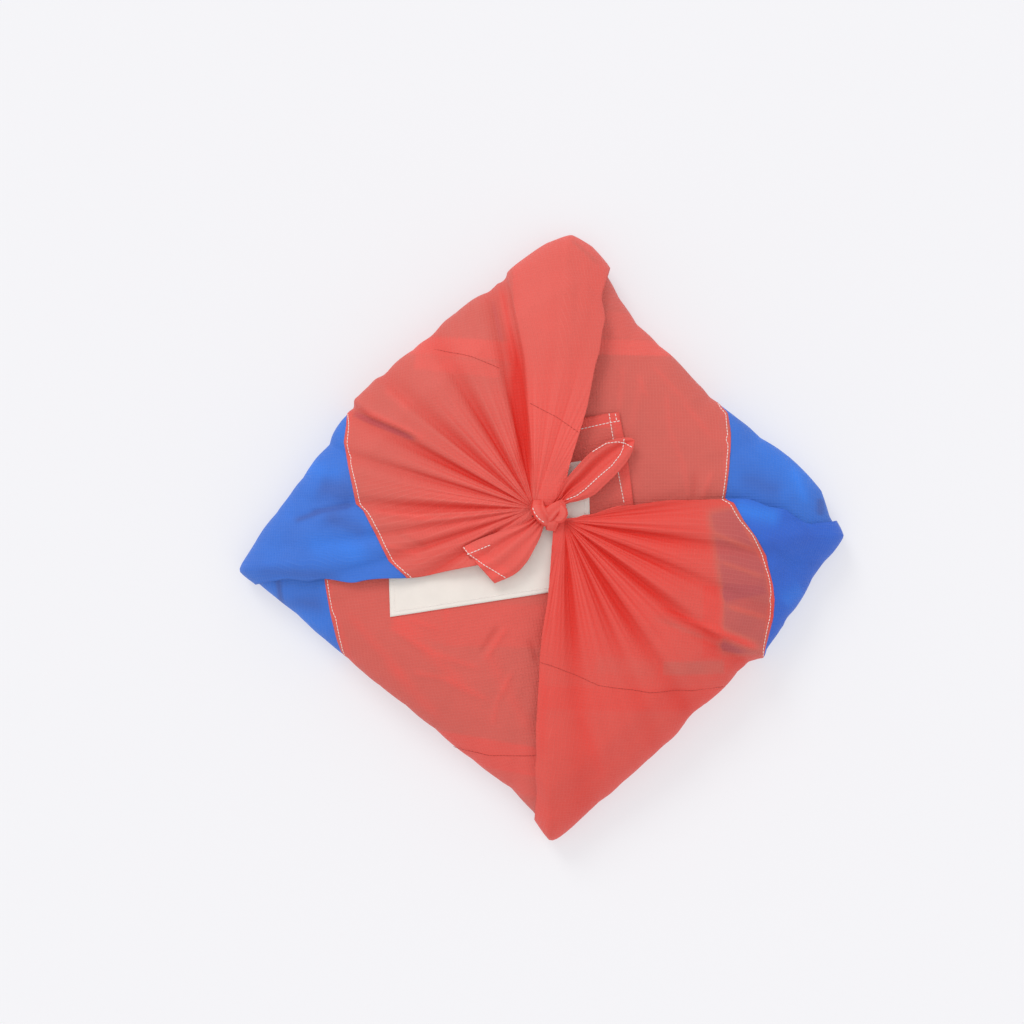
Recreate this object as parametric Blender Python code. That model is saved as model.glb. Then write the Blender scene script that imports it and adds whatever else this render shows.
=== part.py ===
"""Furoshiki: one square ripstop cloth tied round a soft, flat, square bundle.

Metres, +Z up, resting on Z = 0, the camera side of the bundle upwards.
X runs to the right of the bundle as it is seen from above, Y away from the viewer.
Every cloth piece is worked out on one body form: a crowned bundle with drawn-in sides,
whose outline is read by bearing round the middle. A sheet keeps its own lift above it.
"""
import math

import bpy
import numpy as np

MM = 0.001

# Sizes of the bundle
CROWN_HEIGHT = 71.0
BASE_INSET = 20.0
TOP_SHARE = 0.90

# Cloth
CLOTH_THICKNESS = 1.5
LABEL_THICKNESS = 1.0
SEAM_GAP = 0.4
SHEET_HEM_HEIGHT = 2.0

# Lift of the underside of each sheet above the body, at the middle and at the rim
BODY_SINK = 3.0
BACK_LIFT_MIDDLE = 0.2
BACK_LIFT_RIM = 0.7
FRONT_LIFT_MIDDLE = 2.6
FRONT_LIFT_RIM = 0.7
LABEL_LIFT = 4.8
FAN_LIFT_MIDDLE = 6.9
FAN_LIFT_RIM = 3.3
NECK_RISE = 3.0
NECK_RISE_REACH = 40.0

# Knot
KNOT_CENTRE = (5.5, 25.5)
KNOT_LIFT = 15.5

# Outline of the wrapped bundle from above: x, y in mm, round from the right corner
OUTLINE = (
    (289, 4), (279, 22), (271, 47), (254, 67), (240, 80), (212, 98), (190, 117),
    (161, 137), (143, 157), (113, 188), (91, 209), (74, 234), (57, 264), (44, 279),
    (28, 289), (8, 281), (-22, 260), (-38, 246), (-79, 215), (-120, 179), (-163, 144),
    (-184, 122), (-203, 90), (-228, 57), (-258, 19), (-275, -5), (-290, -29),
    (-278, -38), (-258, -55), (-237, -71), (-211, -95), (-187, -114), (-156, -139),
    (-131, -159), (-103, -182), (-66, -213), (-29, -240), (-6, -264), (10, -288),
    (35, -268), (52, -252), (75, -231), (98, -210), (137, -171), (153, -155),
    (186, -124), (209, -107), (236, -72), (259, -35), (272, -19),
)

# Threads round the bundle: number of the thread at each corner, and the corner's bearing
THREADS = 72
CORNERS = ((0, 0.8), (17, 84.5), (37, 185.7), (54, 272.0), (72, 360.8))

# Cross-sections of the bundle: bearing of the section, height of its widest line,
# fullness of the top (higher is boxier)
SECTIONS = (
    (0.8, 13.0, 2.9),
    (45.0, 29.0, 4.2),
    (84.9, 13.0, 2.9),
    (135.0, 30.0, 4.2),
    (186.0, 13.0, 2.9),
    (225.0, 29.0, 4.2),
    (271.5, 13.0, 2.9),
    (315.0, 30.0, 4.2),
    (360.8, 13.0, 2.9),
)

# Free edge of the front flap: x, y, from the left corner over its tip to the near corner
FRONT_HEM = (
    (-205, 32), (-150, 70), (-60, 98), (39, 114.5), (71.2, 119.7),
    (79, 78), (84.5, 34.6), (92, -40), (88, -130), (58, -196),
)
FRONT_TIP_ROW = 4
FRONT_THREADS = (36, 46, 55)

# Free edge of the back flap: x, y, from the right corner over its tip to the far corner
BACK_HEM = (
    (205, -42), (150, -62), (60, -80), (-40, -86), (-118, -88),
    (-121, -20), (-116, 50), (-90, 130), (-42, 203),
)
BACK_TIP_ROW = 4
BACK_THREADS = (-1, 9, 18)

# Gathered corners: the middle of each neck, and how far the two side edges swing out
LEFT_NECK = (-8.0, 30.0)
LEFT_THREADS = (37.5, 15.5)
RIGHT_NECK = (20.0, 18.5)
RIGHT_THREADS = (0.5, -18.5)
NECK_RADIUS = 9.0

# Swing of the side edges: share of the way out, first edge, last edge
LEFT_SWING = (
    (0.0, 0.0, 0.0), (0.1, 26.0, -17.0), (0.2, 37.0, -20.0), (0.42, 34.0, -20.0),
    (0.7, 21.5, -14.0), (0.86, 9.0, -9.5), (1.0, 0.0, 0.0),
)
RIGHT_SWING = (
    (0.0, 0.0, 0.0), (0.05, 6.0, -7.0), (0.2, 15.0, -8.5), (0.43, 21.0, -11.0),
    (0.7, 23.0, -8.0), (0.86, 15.0, -3.5), (1.0, 0.0, 0.0),
)
SWING_SHARE = 0.26

# Pleats of the fans: bearing of each valley from the neck, depth, half width
LEFT_VALLEYS = (
    (101.0, 1.0, 5.0), (119.0, 0.7, 4.0), (139.0, 0.8, 4.0), (152.5, 1.0, 3.6),
    (164.0, 0.7, 3.4), (179.0, 0.9, 3.6), (190.0, 0.6, 3.0), (199.0, 0.8, 3.4),
    (212.0, 0.7, 4.0),
)
RIGHT_VALLEYS = (
    (8.0, 0.5, 5.0), (-9.5, 0.9, 4.0), (-24.0, 0.8, 3.6), (-38.5, 1.0, 3.6),
    (-57.0, 1.0, 4.0), (-67.5, 0.6, 3.4), (-86.0, 0.9, 4.0),
)

# Height of the pleats by distance from the neck
PLEAT_HEIGHTS = (
    (0.0, 0.0), (12.0, 0.8), (30.0, 3.2), (60.0, 5.6), (100.0, 6.6), (150.0, 5.0),
    (200.0, 3.0), (250.0, 1.6), (330.0, 0.8),
)

# Seams between the red and the blue panels: x, y in mm
LEFT_FAN_SEAM = (
    (-230, 150), (-184, 122), (-184, 108), (-186, 92), (-182, 71), (-177, 50),
    (-174, 34), (-167, 28), (-158, 11), (-149, -7), (-143, -19), (-127.5, -33),
    (-110, -60),
)
FRONT_FLAP_SEAM = (
    (-205, 20), (-204, -36), (-202.5, -48), (-199.5, -67), (-193.5, -94),
    (-190, -105), (-181, -119), (-174, -126.5), (-150, -155),
)
BACK_FLAP_SEAM = (
    (190, 170), (161, 137), (170, 125), (175, 120), (177, 101), (176.5, 87), (174.5, 65),
    (172, 47), (170.5, 39), (160, -30), (150, -120),
)
RIGHT_FAN_SEAM = (
    (160, 90), (171, 38), (178, 35), (187, 19), (199.5, 2), (209, -14), (211, -24),
    (216, -42), (218, -56), (217.5, -72), (213.5, -88), (209, -109), (222, -150),
)

# Corners of the label, round from the near left one
LABEL_CORNERS = ((-141.5, -71.0), (46.5, -42.0), (42.0, 75.0), (-145.5, 45.5))
LABEL_CELLS = (12, 7)

# Tails: x, y of the two side edges and their height above the lying flaps
LEFT_TAIL = (
    (-13.0, 15.0, -2.5, 9.5, 12.6),
    (-26.0, 10.0, -4.5, 0.5, 13.9),
    (-43.0, 5.0, -9.0, -9.0, 14.0),
    (-58.0, 0.5, -16.0, -22.0, 13.8),
    (-68.0, -3.5, -27.0, -31.5, 13.4),
    (-74.0, -6.5, -44.5, -39.5, 13.2),
)
RIGHT_TAIL = (
    (15.2, 40.6, 22.6, 34.2, 13.2),
    (20.5, 51.0, 34.0, 36.5, 14.8),
    (30.0, 66.0, 46.5, 42.0, 16.0),
    (43.0, 80.0, 58.0, 52.0, 15.0),
    (57.5, 90.0, 71.5, 65.5, 13.0),
    (69.5, 94.5, 79.0, 75.5, 11.0),
    (83.0, 94.0, 84.5, 88.0, 9.5),
)

# Strands of the knot: x, y, height of the band's middle above the knot's middle
KNOT_STRANDS = (
    ((-12, 5, -5), (-11, 10, -1), (-5, 9, 3.5), (1, 3, 4.5), (6, -4, 1), (4, -9, -4)),
    ((12, 5, -5), (8, 9, 0), (1, 7, 1.5), (-6, 0, 2.5), (-9, -7, 0), (-6, -11, -4)),
    ((2, -10, -5), (9, -8, 0), (15, -1, 2.5), (13, 7, 2.5), (6, 8, 0.5), (1, 3, -3)),
)
KNOT_BAND = (5.6, 3.4)

RED = (0.76, 0.125, 0.095)
BLUE = (0.06, 0.19, 0.67)
CREAM = (0.85, 0.77, 0.70)


def clear_scene():
    """Start from an empty scene."""
    for item in list(bpy.data.objects):
        bpy.data.objects.remove(item, do_unlink=True)


def material(name, colour):
    """One plain cloth material."""
    result = bpy.data.materials.new(name)
    result.use_nodes = True
    shader = result.node_tree.nodes["Principled BSDF"]
    shader.inputs["Base Color"].default_value = (*colour, 1.0)
    shader.inputs["Roughness"].default_value = 0.6
    return result


def smooth_step(value):
    """0 to 1 with soft ends."""
    inside = np.clip(value, 0.0, 1.0)
    return inside * inside * (3.0 - 2.0 * inside)


def table(rows, where, column):
    """Read a column of a table at any place along its first column, eased between rows."""
    keys = np.array([row[0] for row in rows], dtype=float)
    values = np.array([row[column] for row in rows], dtype=float)
    spot = np.clip(np.searchsorted(keys, where, side="right") - 1, 0, len(keys) - 2)
    share = (where - keys[spot]) / (keys[spot + 1] - keys[spot])
    ease = smooth_step(share)
    return values[spot] * (1.0 - ease) + values[spot + 1] * ease


def thread_bearing(number):
    """Bearing in degrees of a thread, counted round from the right corner."""
    turns = np.floor_divide(number, THREADS)
    corners = np.array(CORNERS, dtype=float)
    return np.interp(number - turns * THREADS, corners[:, 0], corners[:, 1]) + 360.0 * turns


def reach(bearing):
    """Distance of the outline from the middle at a bearing in degrees."""
    points = np.array(OUTLINE, dtype=float)
    angles = np.degrees(np.arctan2(points[:, 1], points[:, 0])) % 360.0
    radii = np.hypot(points[:, 0], points[:, 1])
    order = np.argsort(angles)
    return np.interp(np.asarray(bearing) % 360.0, angles[order], radii[order], period=360.0)


def section(bearing):
    """Reach, height of the widest line and fullness of the section at a bearing."""
    turned = (np.asarray(bearing) - SECTIONS[0][0]) % 360.0 + SECTIONS[0][0]
    outer = reach(bearing) - FAN_LIFT_RIM - CLOTH_THICKNESS
    return outer, table(SECTIONS, turned, 1), table(SECTIONS, turned, 2)


def top_point(x, y):
    """The body's upper surface under plan positions x, y."""
    outer, waist, fullness = section(np.degrees(np.arctan2(y, x)))
    share = np.clip(np.hypot(x, y) / outer, 0.0, 0.9999)
    rise = (CROWN_HEIGHT - waist) * np.sqrt(1.0 - share ** fullness)
    return np.stack([x, y, waist + rise], axis=-1)


def side_point(bearing, turn):
    """The body's skin at a bearing: turn 0 is the middle of the top, 1 the widest line, 2 the foot."""
    outer, waist, fullness = section(bearing)
    upper = np.clip(turn, 0.0, 1.0) * math.pi / 2.0
    lower = np.clip(turn - 1.0, 0.0, 1.0) * math.pi / 2.0
    out = outer * np.sin(upper) ** (2.0 / fullness) - BASE_INSET * (1.0 - np.cos(lower))
    high = waist + (CROWN_HEIGHT - waist) * np.cos(upper)
    height = np.where(turn > 1.0, waist * (1.0 - np.sin(lower)), high)
    angle = np.radians(bearing)
    return np.stack([out * np.cos(angle), out * np.sin(angle), height], axis=-1)


def turn_of_share(bearing, share):
    """The turn at which the section reaches a share of its full width."""
    fullness = section(bearing)[2]
    return np.arcsin(share ** (fullness / 2.0)) / (math.pi / 2.0)


def lifted_top(x, y, lift):
    """Plan positions on the top, raised along the body's normal by lift."""
    step = 0.5
    across = top_point(x + step, y) - top_point(x - step, y)
    along = top_point(x, y + step) - top_point(x, y - step)
    normal = np.cross(across, along)
    normal /= np.linalg.norm(normal, axis=-1, keepdims=True)
    return top_point(x, y) + normal * np.asarray(lift)[..., None]


def lifted_side(bearing, turn, lift):
    """Places on the side, raised along the body's normal by lift."""
    step = 0.01
    down = side_point(bearing, turn + step) - side_point(bearing, turn - step)
    round_ = side_point(bearing + 1.0, turn) - side_point(bearing - 1.0, turn)
    normal = np.cross(down, round_)
    normal /= np.linalg.norm(normal, axis=-1, keepdims=True)
    return side_point(bearing, turn) + normal * np.asarray(lift)[..., None]


def add_object(name, verts, faces, colour_material, collection):
    """A named closed object from points in mm, its faces turned outward."""
    verts = np.asarray(verts)
    volume = 0.0
    for face in faces:
        for place in range(1, len(face) - 1):
            volume += np.dot(verts[face[0]], np.cross(verts[face[place]], verts[face[place + 1]]))
    if volume < 0.0:
        faces = [tuple(reversed(face)) for face in faces]
    mesh = bpy.data.meshes.new(name)
    mesh.from_pydata((verts * MM).tolist(), [], faces)
    mesh.update()
    if colour_material:
        mesh.materials.append(colour_material)
    result = bpy.data.objects.new(name, mesh)
    collection.objects.link(result)
    return result


def sheet(name, lower, upper, colour_material, collection):
    """A closed sheet between two grids of the same rows and columns."""
    rows, columns = lower.shape[:2]
    verts = np.concatenate([upper.reshape(-1, 3), lower.reshape(-1, 3)])
    under = rows * columns
    faces = []
    for row in range(rows - 1):
        for column in range(columns - 1):
            a = row * columns + column
            b = a + 1
            c = a + columns + 1
            d = a + columns
            faces.append((a, b, c, d))
            faces.append((under + a, under + d, under + c, under + b))
    loop = list(range(columns))
    loop += [row * columns + columns - 1 for row in range(1, rows)]
    loop += [(rows - 1) * columns + column for column in range(columns - 2, -1, -1)]
    loop += [row * columns for row in range(rows - 2, 0, -1)]
    for place, here in enumerate(loop):
        there = loop[(place + 1) % len(loop)]
        faces.append((there, here, under + here, under + there))
    result = add_object(name, verts, faces, colour_material, collection)
    return result


def side_turns(bearing):
    """Turns of the rows that every piece shares on the side, from the top's edge to the foot."""
    first = turn_of_share(bearing, TOP_SHARE)
    steps = np.array([0.0, 0.22, 0.45, 0.7, 1.0])
    upper = first[None, :] + (1.0 - first[None, :]) * steps[:, None]
    waist = section(bearing)[1]
    under = FAN_LIFT_RIM + CLOTH_THICKNESS
    foot = np.arcsin((waist - SHEET_HEM_HEIGHT) / (waist + under)) / (math.pi / 2.0)
    lower = 1.0 + foot[None, :] * np.array([0.36, 0.7, 1.0])[:, None]
    return np.concatenate([upper, lower])


def bundle_body(colour_material, collection):
    """The filled middle of the cloth: crown, drawn-in sides and a flat foot."""
    bearings = thread_bearing(np.arange(THREADS))
    rings = []
    for share in (0.22, 0.42, 0.56, 0.68, 0.77, 0.84):
        turns = turn_of_share(bearings, share)
        rings.append(lifted_side(bearings, turns, np.full_like(bearings, -BODY_SINK)))
    for number, turns in enumerate(side_turns(bearings)):
        sink = BODY_SINK * (1.0 - smooth_step(number / 2.0))
        rings.append(lifted_side(bearings, turns, np.full_like(bearings, -sink)))
    rings.append(side_point(bearings, np.full_like(bearings, 2.0)))
    count = len(bearings)
    verts = np.concatenate(rings + [np.array([[0.0, 0.0, CROWN_HEIGHT - BODY_SINK]])])
    top = len(verts) - 1
    faces = []
    for ring in range(len(rings) - 1):
        for column in range(count):
            after = (column + 1) % count
            faces.append((ring * count + column, (ring + 1) * count + column,
                          (ring + 1) * count + after, ring * count + after))
    last = (len(rings) - 1) * count
    for column in range(count):
        after = (column + 1) % count
        faces.append((top, column, after))
    faces.append(tuple(last + column for column in range(count - 1, -1, -1)))
    return add_object("bundle_body", verts, faces, colour_material, collection)


def along_line(points, count):
    """Evenly spaced places along a line of points."""
    line = np.array(points, dtype=float)
    length = np.concatenate([[0.0], np.cumsum(np.linalg.norm(np.diff(line, axis=0), axis=1))])
    places = np.linspace(0.0, length[-1], count)
    return np.stack([np.interp(places, length, line[:, axis]) for axis in (0, 1)], axis=-1)


def flap_grid(hem, tip_row, threads, lift_middle, lift_rim):
    """A corner flap: straight threads from its free edge to the rim, then down the side."""
    first, middle, last = threads
    before = middle - first + 1
    after = last - middle + 1
    edge = np.concatenate([along_line(hem[:tip_row + 1], before),
                           along_line(hem[tip_row:], after)[1:]])
    columns = thread_bearing(np.arange(first, last + 1))
    outer = section(columns)[0]
    angle = np.radians(columns)
    rim = np.stack([np.cos(angle), np.sin(angle)], axis=-1) * (outer * TOP_SHARE)[:, None]
    shares = 1.0 - (1.0 - np.linspace(0.0, 1.0, 14)) ** 1.1
    layers = []
    for extra in (0.0, CLOTH_THICKNESS):
        rows = []
        for share in shares[:-1]:
            spot = edge * (1.0 - share) + rim * share
            near = np.hypot(spot[:, 0], spot[:, 1]) / section(
                np.degrees(np.arctan2(spot[:, 1], spot[:, 0])))[0]
            lift = lift_middle + (lift_rim - lift_middle) * smooth_step((near - 0.78) / 0.12)
            rows.append(lifted_top(spot[:, 0], spot[:, 1], lift + extra))
        for turns in side_turns(columns):
            rows.append(lifted_side(columns, turns, np.full_like(columns, lift_rim + extra)))
        layers.append(np.array(rows))
    return layers


def pleat_height(bearing, distance, valleys):
    """Height of the gathers: full between the valleys and nothing in them."""
    form = np.ones_like(bearing)
    for at, depth, width in valleys:
        form = form * (1.0 - depth * np.exp(-((bearing - at) / width) ** 2))
    return form * table(PLEAT_HEIGHTS, distance, 1)


def fan_grid(neck, threads, swing, valleys):
    """A gathered corner: threads from the neck to the rim, then down the side."""
    first, last = threads
    count = int(round(abs(last - first) * 2.0)) + 1
    columns = thread_bearing(np.linspace(first, last, count))
    outer = section(columns)[0]
    angle = np.radians(columns)
    rim = np.stack([np.cos(angle), np.sin(angle)], axis=-1) * (outer * TOP_SHARE)[:, None]
    middle = np.array(neck)
    away = rim - middle
    length = np.linalg.norm(away, axis=1)
    away = away / length[:, None]
    left = np.stack([-away[:, 1], away[:, 0]], axis=-1)
    place = np.linspace(0.0, 1.0, count)
    from_first = (1.0 - smooth_step(place / SWING_SHARE))
    from_last = (1.0 - smooth_step((1.0 - place) / SWING_SHARE))
    shares = np.array([0.0, 0.04, 0.09, 0.16, 0.25, 0.36, 0.48, 0.6, 0.72, 0.82, 0.92])
    layers = []
    for extra in (0.0, CLOTH_THICKNESS):
        rows = []
        for share in shares:
            out = NECK_RADIUS + (length - NECK_RADIUS) * share
            bend = table(swing, share, 1) * from_first + table(swing, share, 2) * from_last
            spot = middle + away * out[:, None] + left * bend[:, None]
            from_neck = spot - middle
            distance = np.hypot(from_neck[:, 0], from_neck[:, 1])
            seen = np.degrees(np.arctan2(from_neck[:, 1], from_neck[:, 0]))
            seen = np.where(np.abs(seen - columns) > 180.0, seen + 360.0, seen)
            near = np.hypot(spot[:, 0], spot[:, 1]) / section(
                np.degrees(np.arctan2(spot[:, 1], spot[:, 0])))[0]
            lift = FAN_LIFT_MIDDLE + (FAN_LIFT_RIM - FAN_LIFT_MIDDLE) * smooth_step((near - 0.8) / 0.1)
            lift = lift + NECK_RISE * np.exp(-(distance / NECK_RISE_REACH) ** 2)
            lift = lift + pleat_height(seen, distance, valleys)
            rows.append(lifted_top(spot[:, 0], spot[:, 1], lift + extra))
        for number, turns in enumerate(side_turns(columns)):
            fade = 1.0 - smooth_step(number / 7.0)
            lift = FAN_LIFT_RIM + fade * pleat_height(columns, length + 12.0 * number, valleys)
            rows.append(lifted_side(columns, turns, lift + extra))
        layers.append(np.array(rows))
    return layers


def seam_wall(name, seam, outside, shift, collection):
    """An upright block whose one face follows a seam, and which holds all on that side of it."""
    line = np.array(seam, dtype=float)
    chord = line[-1] - line[0]
    across = np.array([-chord[1], chord[0]]) / np.linalg.norm(chord)
    if np.dot(across, np.mean(outside, axis=0) - np.mean(line, axis=0)) > 0.0:
        across = -across
    line = line + across * shift
    plan = np.concatenate([line, np.array(outside, dtype=float)])
    count = len(plan)
    low = np.column_stack([plan, np.full(count, -30.0)])
    high = np.column_stack([plan, np.full(count, 150.0)])
    faces = [tuple(range(count)), tuple(range(2 * count - 1, count - 1, -1))]
    for place in range(count):
        after = (place + 1) % count
        faces.append((place, count + place, count + after, after))
    result = add_object(name, np.concatenate([low, high]), faces, None, collection)
    result.hide_render = True
    result.display_type = "WIRE"
    return result


def cut(target, wall, operation):
    """Cut a sheet along a seam."""
    modifier = target.modifiers.new("seam", "BOOLEAN")
    modifier.object = wall
    modifier.operation = operation
    modifier.solver = "EXACT"


def panels(name, grid, seam, outside, materials, collection):
    """A flap as its red and its blue panel, parted along the seam."""
    red_material, blue_material = materials
    red = sheet(name + "_red", grid[0], grid[1], red_material, collection)
    blue = sheet(name + "_blue", grid[0], grid[1], blue_material, collection)
    for target, operation, side in ((red, "DIFFERENCE", 0.5), (blue, "INTERSECT", -0.5)):
        wall = seam_wall(target.name + "_seam", seam, outside, side * SEAM_GAP, collection)
        cut(target, wall, operation)


def label(colour_material, collection):
    """The sewn label, lying on the front flap."""
    corners = np.array(LABEL_CORNERS)
    across = np.linspace(0.0, 1.0, LABEL_CELLS[0] + 1)[None, :, None]
    up = np.linspace(0.0, 1.0, LABEL_CELLS[1] + 1)[:, None, None]
    near = corners[0] * (1.0 - across) + corners[1] * across
    far = corners[3] * (1.0 - across) + corners[2] * across
    spot = near * (1.0 - up) + far * up
    lower = lifted_top(spot[..., 0], spot[..., 1], np.full(spot.shape[:2], LABEL_LIFT))
    upper = lifted_top(spot[..., 0], spot[..., 1],
                       np.full(spot.shape[:2], LABEL_LIFT + LABEL_THICKNESS))
    sheet("label", upper, lower, colour_material, collection)


def tail(name, rows, crease, colour_material, collection):
    """A free end of the cloth: a leaf with one soft fold along it."""
    rows = np.array(rows, dtype=float)
    fine = np.linspace(0.0, len(rows) - 1.0, 15)
    values = np.stack([np.interp(fine, np.arange(len(rows)), rows[:, column])
                       for column in range(5)], axis=-1)
    across = np.linspace(0.0, 1.0, 9)
    spot_x = values[:, 0:1] * (1.0 - across) + values[:, 2:3] * across
    spot_y = values[:, 1:2] * (1.0 - across) + values[:, 3:4] * across
    width = np.hypot(values[:, 2] - values[:, 0], values[:, 3] - values[:, 1])
    bow = (1.0 - np.abs(2.0 * across - 1.0))[None, :] * width[:, None] * crease
    lift = values[:, 4:5] + bow
    lower = lifted_top(spot_x, spot_y, lift)
    upper = lower + np.array([0.0, 0.0, CLOTH_THICKNESS])
    sheet(name, upper, lower, colour_material, collection)


def knot(colour_material, collection):
    """The square knot: three flattened strands laid over each other, joined to one body."""
    parts = []
    base = lifted_top(np.array(KNOT_CENTRE[0]), np.array(KNOT_CENTRE[1]), np.array(KNOT_LIFT))
    for number, strand in enumerate(KNOT_STRANDS):
        points = np.array(strand, dtype=float)
        fine = np.linspace(0.0, len(points) - 1.0, 14)
        path = np.stack([np.interp(fine, np.arange(len(points)), points[:, axis])
                         for axis in range(3)], axis=-1)
        path[1:-1] = (path[:-2] + 2.0 * path[1:-1] + path[2:]) / 4.0
        ahead = np.gradient(path, axis=0)
        ahead /= np.linalg.norm(ahead, axis=1, keepdims=True)
        sideways = np.cross(np.array([0.0, 0.0, 1.0]), ahead)
        sideways /= np.linalg.norm(sideways, axis=1, keepdims=True)
        above = np.cross(ahead, sideways)
        angle = np.linspace(0.0, 2.0 * math.pi, 12, endpoint=False)
        wide, thick = KNOT_BAND
        rings = (path[:, None, :] + base
                 + sideways[:, None, :] * (wide * np.cos(angle))[None, :, None]
                 + above[:, None, :] * (thick * np.sin(angle))[None, :, None])
        count = len(angle)
        faces = [tuple(range(count - 1, -1, -1)),
                 tuple((len(path) - 1) * count + place for place in range(count))]
        for ring in range(len(path) - 1):
            for place in range(count):
                after = (place + 1) % count
                faces.append((ring * count + place, ring * count + after,
                              (ring + 1) * count + after, (ring + 1) * count + place))
        name = "knot" if number == 0 else "knot_strand_%d" % number
        parts.append(add_object(name, rings.reshape(-1, 3), faces, colour_material, collection))
    for other in parts[1:]:
        other.hide_render = True
        other.display_type = "WIRE"
        cut(parts[0], other, "UNION")


def build():
    """All pieces, from the body up."""
    clear_scene()
    collection = bpy.data.collections.new("furoshiki_wrap")
    bpy.context.scene.collection.children.link(collection)
    red = material("red_ripstop", RED)
    blue = material("blue_ripstop", BLUE)
    cream = material("cream_tape", CREAM)
    bundle_body(material("middle_ripstop", RED), collection)
    left_side = ((-400, -60), (-400, 150))
    right_side = ((400, -120), (400, 150))
    panels("front_flap", flap_grid(FRONT_HEM, FRONT_TIP_ROW, FRONT_THREADS,
                                   FRONT_LIFT_MIDDLE, FRONT_LIFT_RIM),
           FRONT_FLAP_SEAM, ((-400, -155), (-400, 20)), (red, blue), collection)
    panels("back_flap", flap_grid(BACK_HEM, BACK_TIP_ROW, BACK_THREADS,
                                  BACK_LIFT_MIDDLE, BACK_LIFT_RIM),
           BACK_FLAP_SEAM, ((400, -120), (400, 170)), (red, blue), collection)
    panels("left_fan", fan_grid(LEFT_NECK, LEFT_THREADS, LEFT_SWING, LEFT_VALLEYS),
           LEFT_FAN_SEAM, ((-400, -60), (-400, 150)), (red, blue), collection)
    panels("right_fan", fan_grid(RIGHT_NECK, RIGHT_THREADS, RIGHT_SWING, RIGHT_VALLEYS),
           RIGHT_FAN_SEAM, ((400, -150), (400, 90)), (red, blue), collection)
    label(cream, collection)
    knot(red, collection)
    tail("left_tail", LEFT_TAIL, 0.12, red, collection)
    tail("right_tail", RIGHT_TAIL, -0.3, red, collection)


build()
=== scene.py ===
"""Looks of the furoshiki wrap: a sewn ripstop cloth tied round a soft, flat, square bundle.

Lengths in the tables are millimetres: X to the right seen from above, Y away, Z up.
Every panel of the cloth is a surface of two numbers: the thread it lies on, and the place
along that thread, 0 at the free edge or neck, 1 at the top's rim, 2 at the foot.
"""
import math

import bpy
import numpy as np
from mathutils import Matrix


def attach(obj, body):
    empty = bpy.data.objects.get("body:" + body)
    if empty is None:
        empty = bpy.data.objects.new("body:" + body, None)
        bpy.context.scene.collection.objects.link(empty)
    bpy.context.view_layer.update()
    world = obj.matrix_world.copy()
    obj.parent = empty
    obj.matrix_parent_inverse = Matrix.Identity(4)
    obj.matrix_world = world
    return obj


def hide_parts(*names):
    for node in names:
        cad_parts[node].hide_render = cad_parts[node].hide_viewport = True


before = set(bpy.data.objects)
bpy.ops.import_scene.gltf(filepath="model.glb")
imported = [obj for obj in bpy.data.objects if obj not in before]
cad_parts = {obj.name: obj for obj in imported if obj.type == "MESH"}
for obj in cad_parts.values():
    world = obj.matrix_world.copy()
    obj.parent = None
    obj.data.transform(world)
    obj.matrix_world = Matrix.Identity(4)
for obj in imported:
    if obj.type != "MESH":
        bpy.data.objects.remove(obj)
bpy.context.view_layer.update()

MM = 0.001

# Body form, as the solids have it
CROWN_HEIGHT = 71.0
BASE_INSET = 20.0
TOP_SHARE = 0.90
FAN_LIFT_MIDDLE = 6.9
FAN_LIFT_RIM = 3.3
SOLID_THICKNESS = 1.5
HEM_HEIGHT = 2.0
BODY_SINK = 3.0
NECK_RISE = 3.0
NECK_RISE_REACH = 40.0
NECK_RADIUS = 9.0
SWING_SHARE = 0.26

# Outline from above: x, y, round from the right corner
OUTLINE = (
    (289, 4), (279, 22), (271, 47), (254, 67), (240, 80), (212, 98), (190, 117), (161, 137),
    (143, 157), (113, 188), (91, 209), (74, 234), (57, 264), (44, 279), (28, 289), (8, 281),
    (-22, 260), (-38, 246), (-79, 215), (-120, 179), (-163, 144), (-184, 122), (-203, 90),
    (-228, 57), (-258, 19), (-275, -5), (-290, -29), (-278, -38), (-258, -55), (-237, -71),
    (-211, -95), (-187, -114), (-156, -139), (-131, -159), (-103, -182), (-66, -213), (-29, -240),
    (-6, -264), (10, -288), (35, -268), (52, -252), (75, -231), (98, -210), (137, -171),
    (153, -155), (186, -124), (209, -107), (236, -72), (259, -35), (272, -19))

# Threads round the bundle: number of the thread at each corner, and the corner's bearing
THREADS = 72
CORNERS = ((0, 0.8), (17, 84.5), (37, 185.7), (54, 272.0), (72, 360.8))

# Cross-sections: bearing, height of the widest line, fullness of the top
SECTIONS = (
    (0.8, 13.0, 2.9), (45.0, 29.0, 4.2), (84.9, 13.0, 2.9), (135.0, 30.0, 4.2),
    (186.0, 13.0, 2.9), (225.0, 29.0, 4.2), (271.5, 13.0, 2.9), (315.0, 30.0, 4.2),
    (360.8, 13.0, 2.9))

# Height of the pleats by distance from the neck
PLEAT_HEIGHTS = (
    (0.0, 0.0), (12.0, 0.8), (30.0, 3.2), (60.0, 5.6), (100.0, 6.6), (150.0, 5.0), (200.0, 3.0),
    (250.0, 1.6), (330.0, 0.8))

# Width of the pleats at the neck, as a share, and how far out they reach their whole width
PLEAT_SPREAD = 0.6
PLEAT_SPREAD_REACH = 60.0

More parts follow.
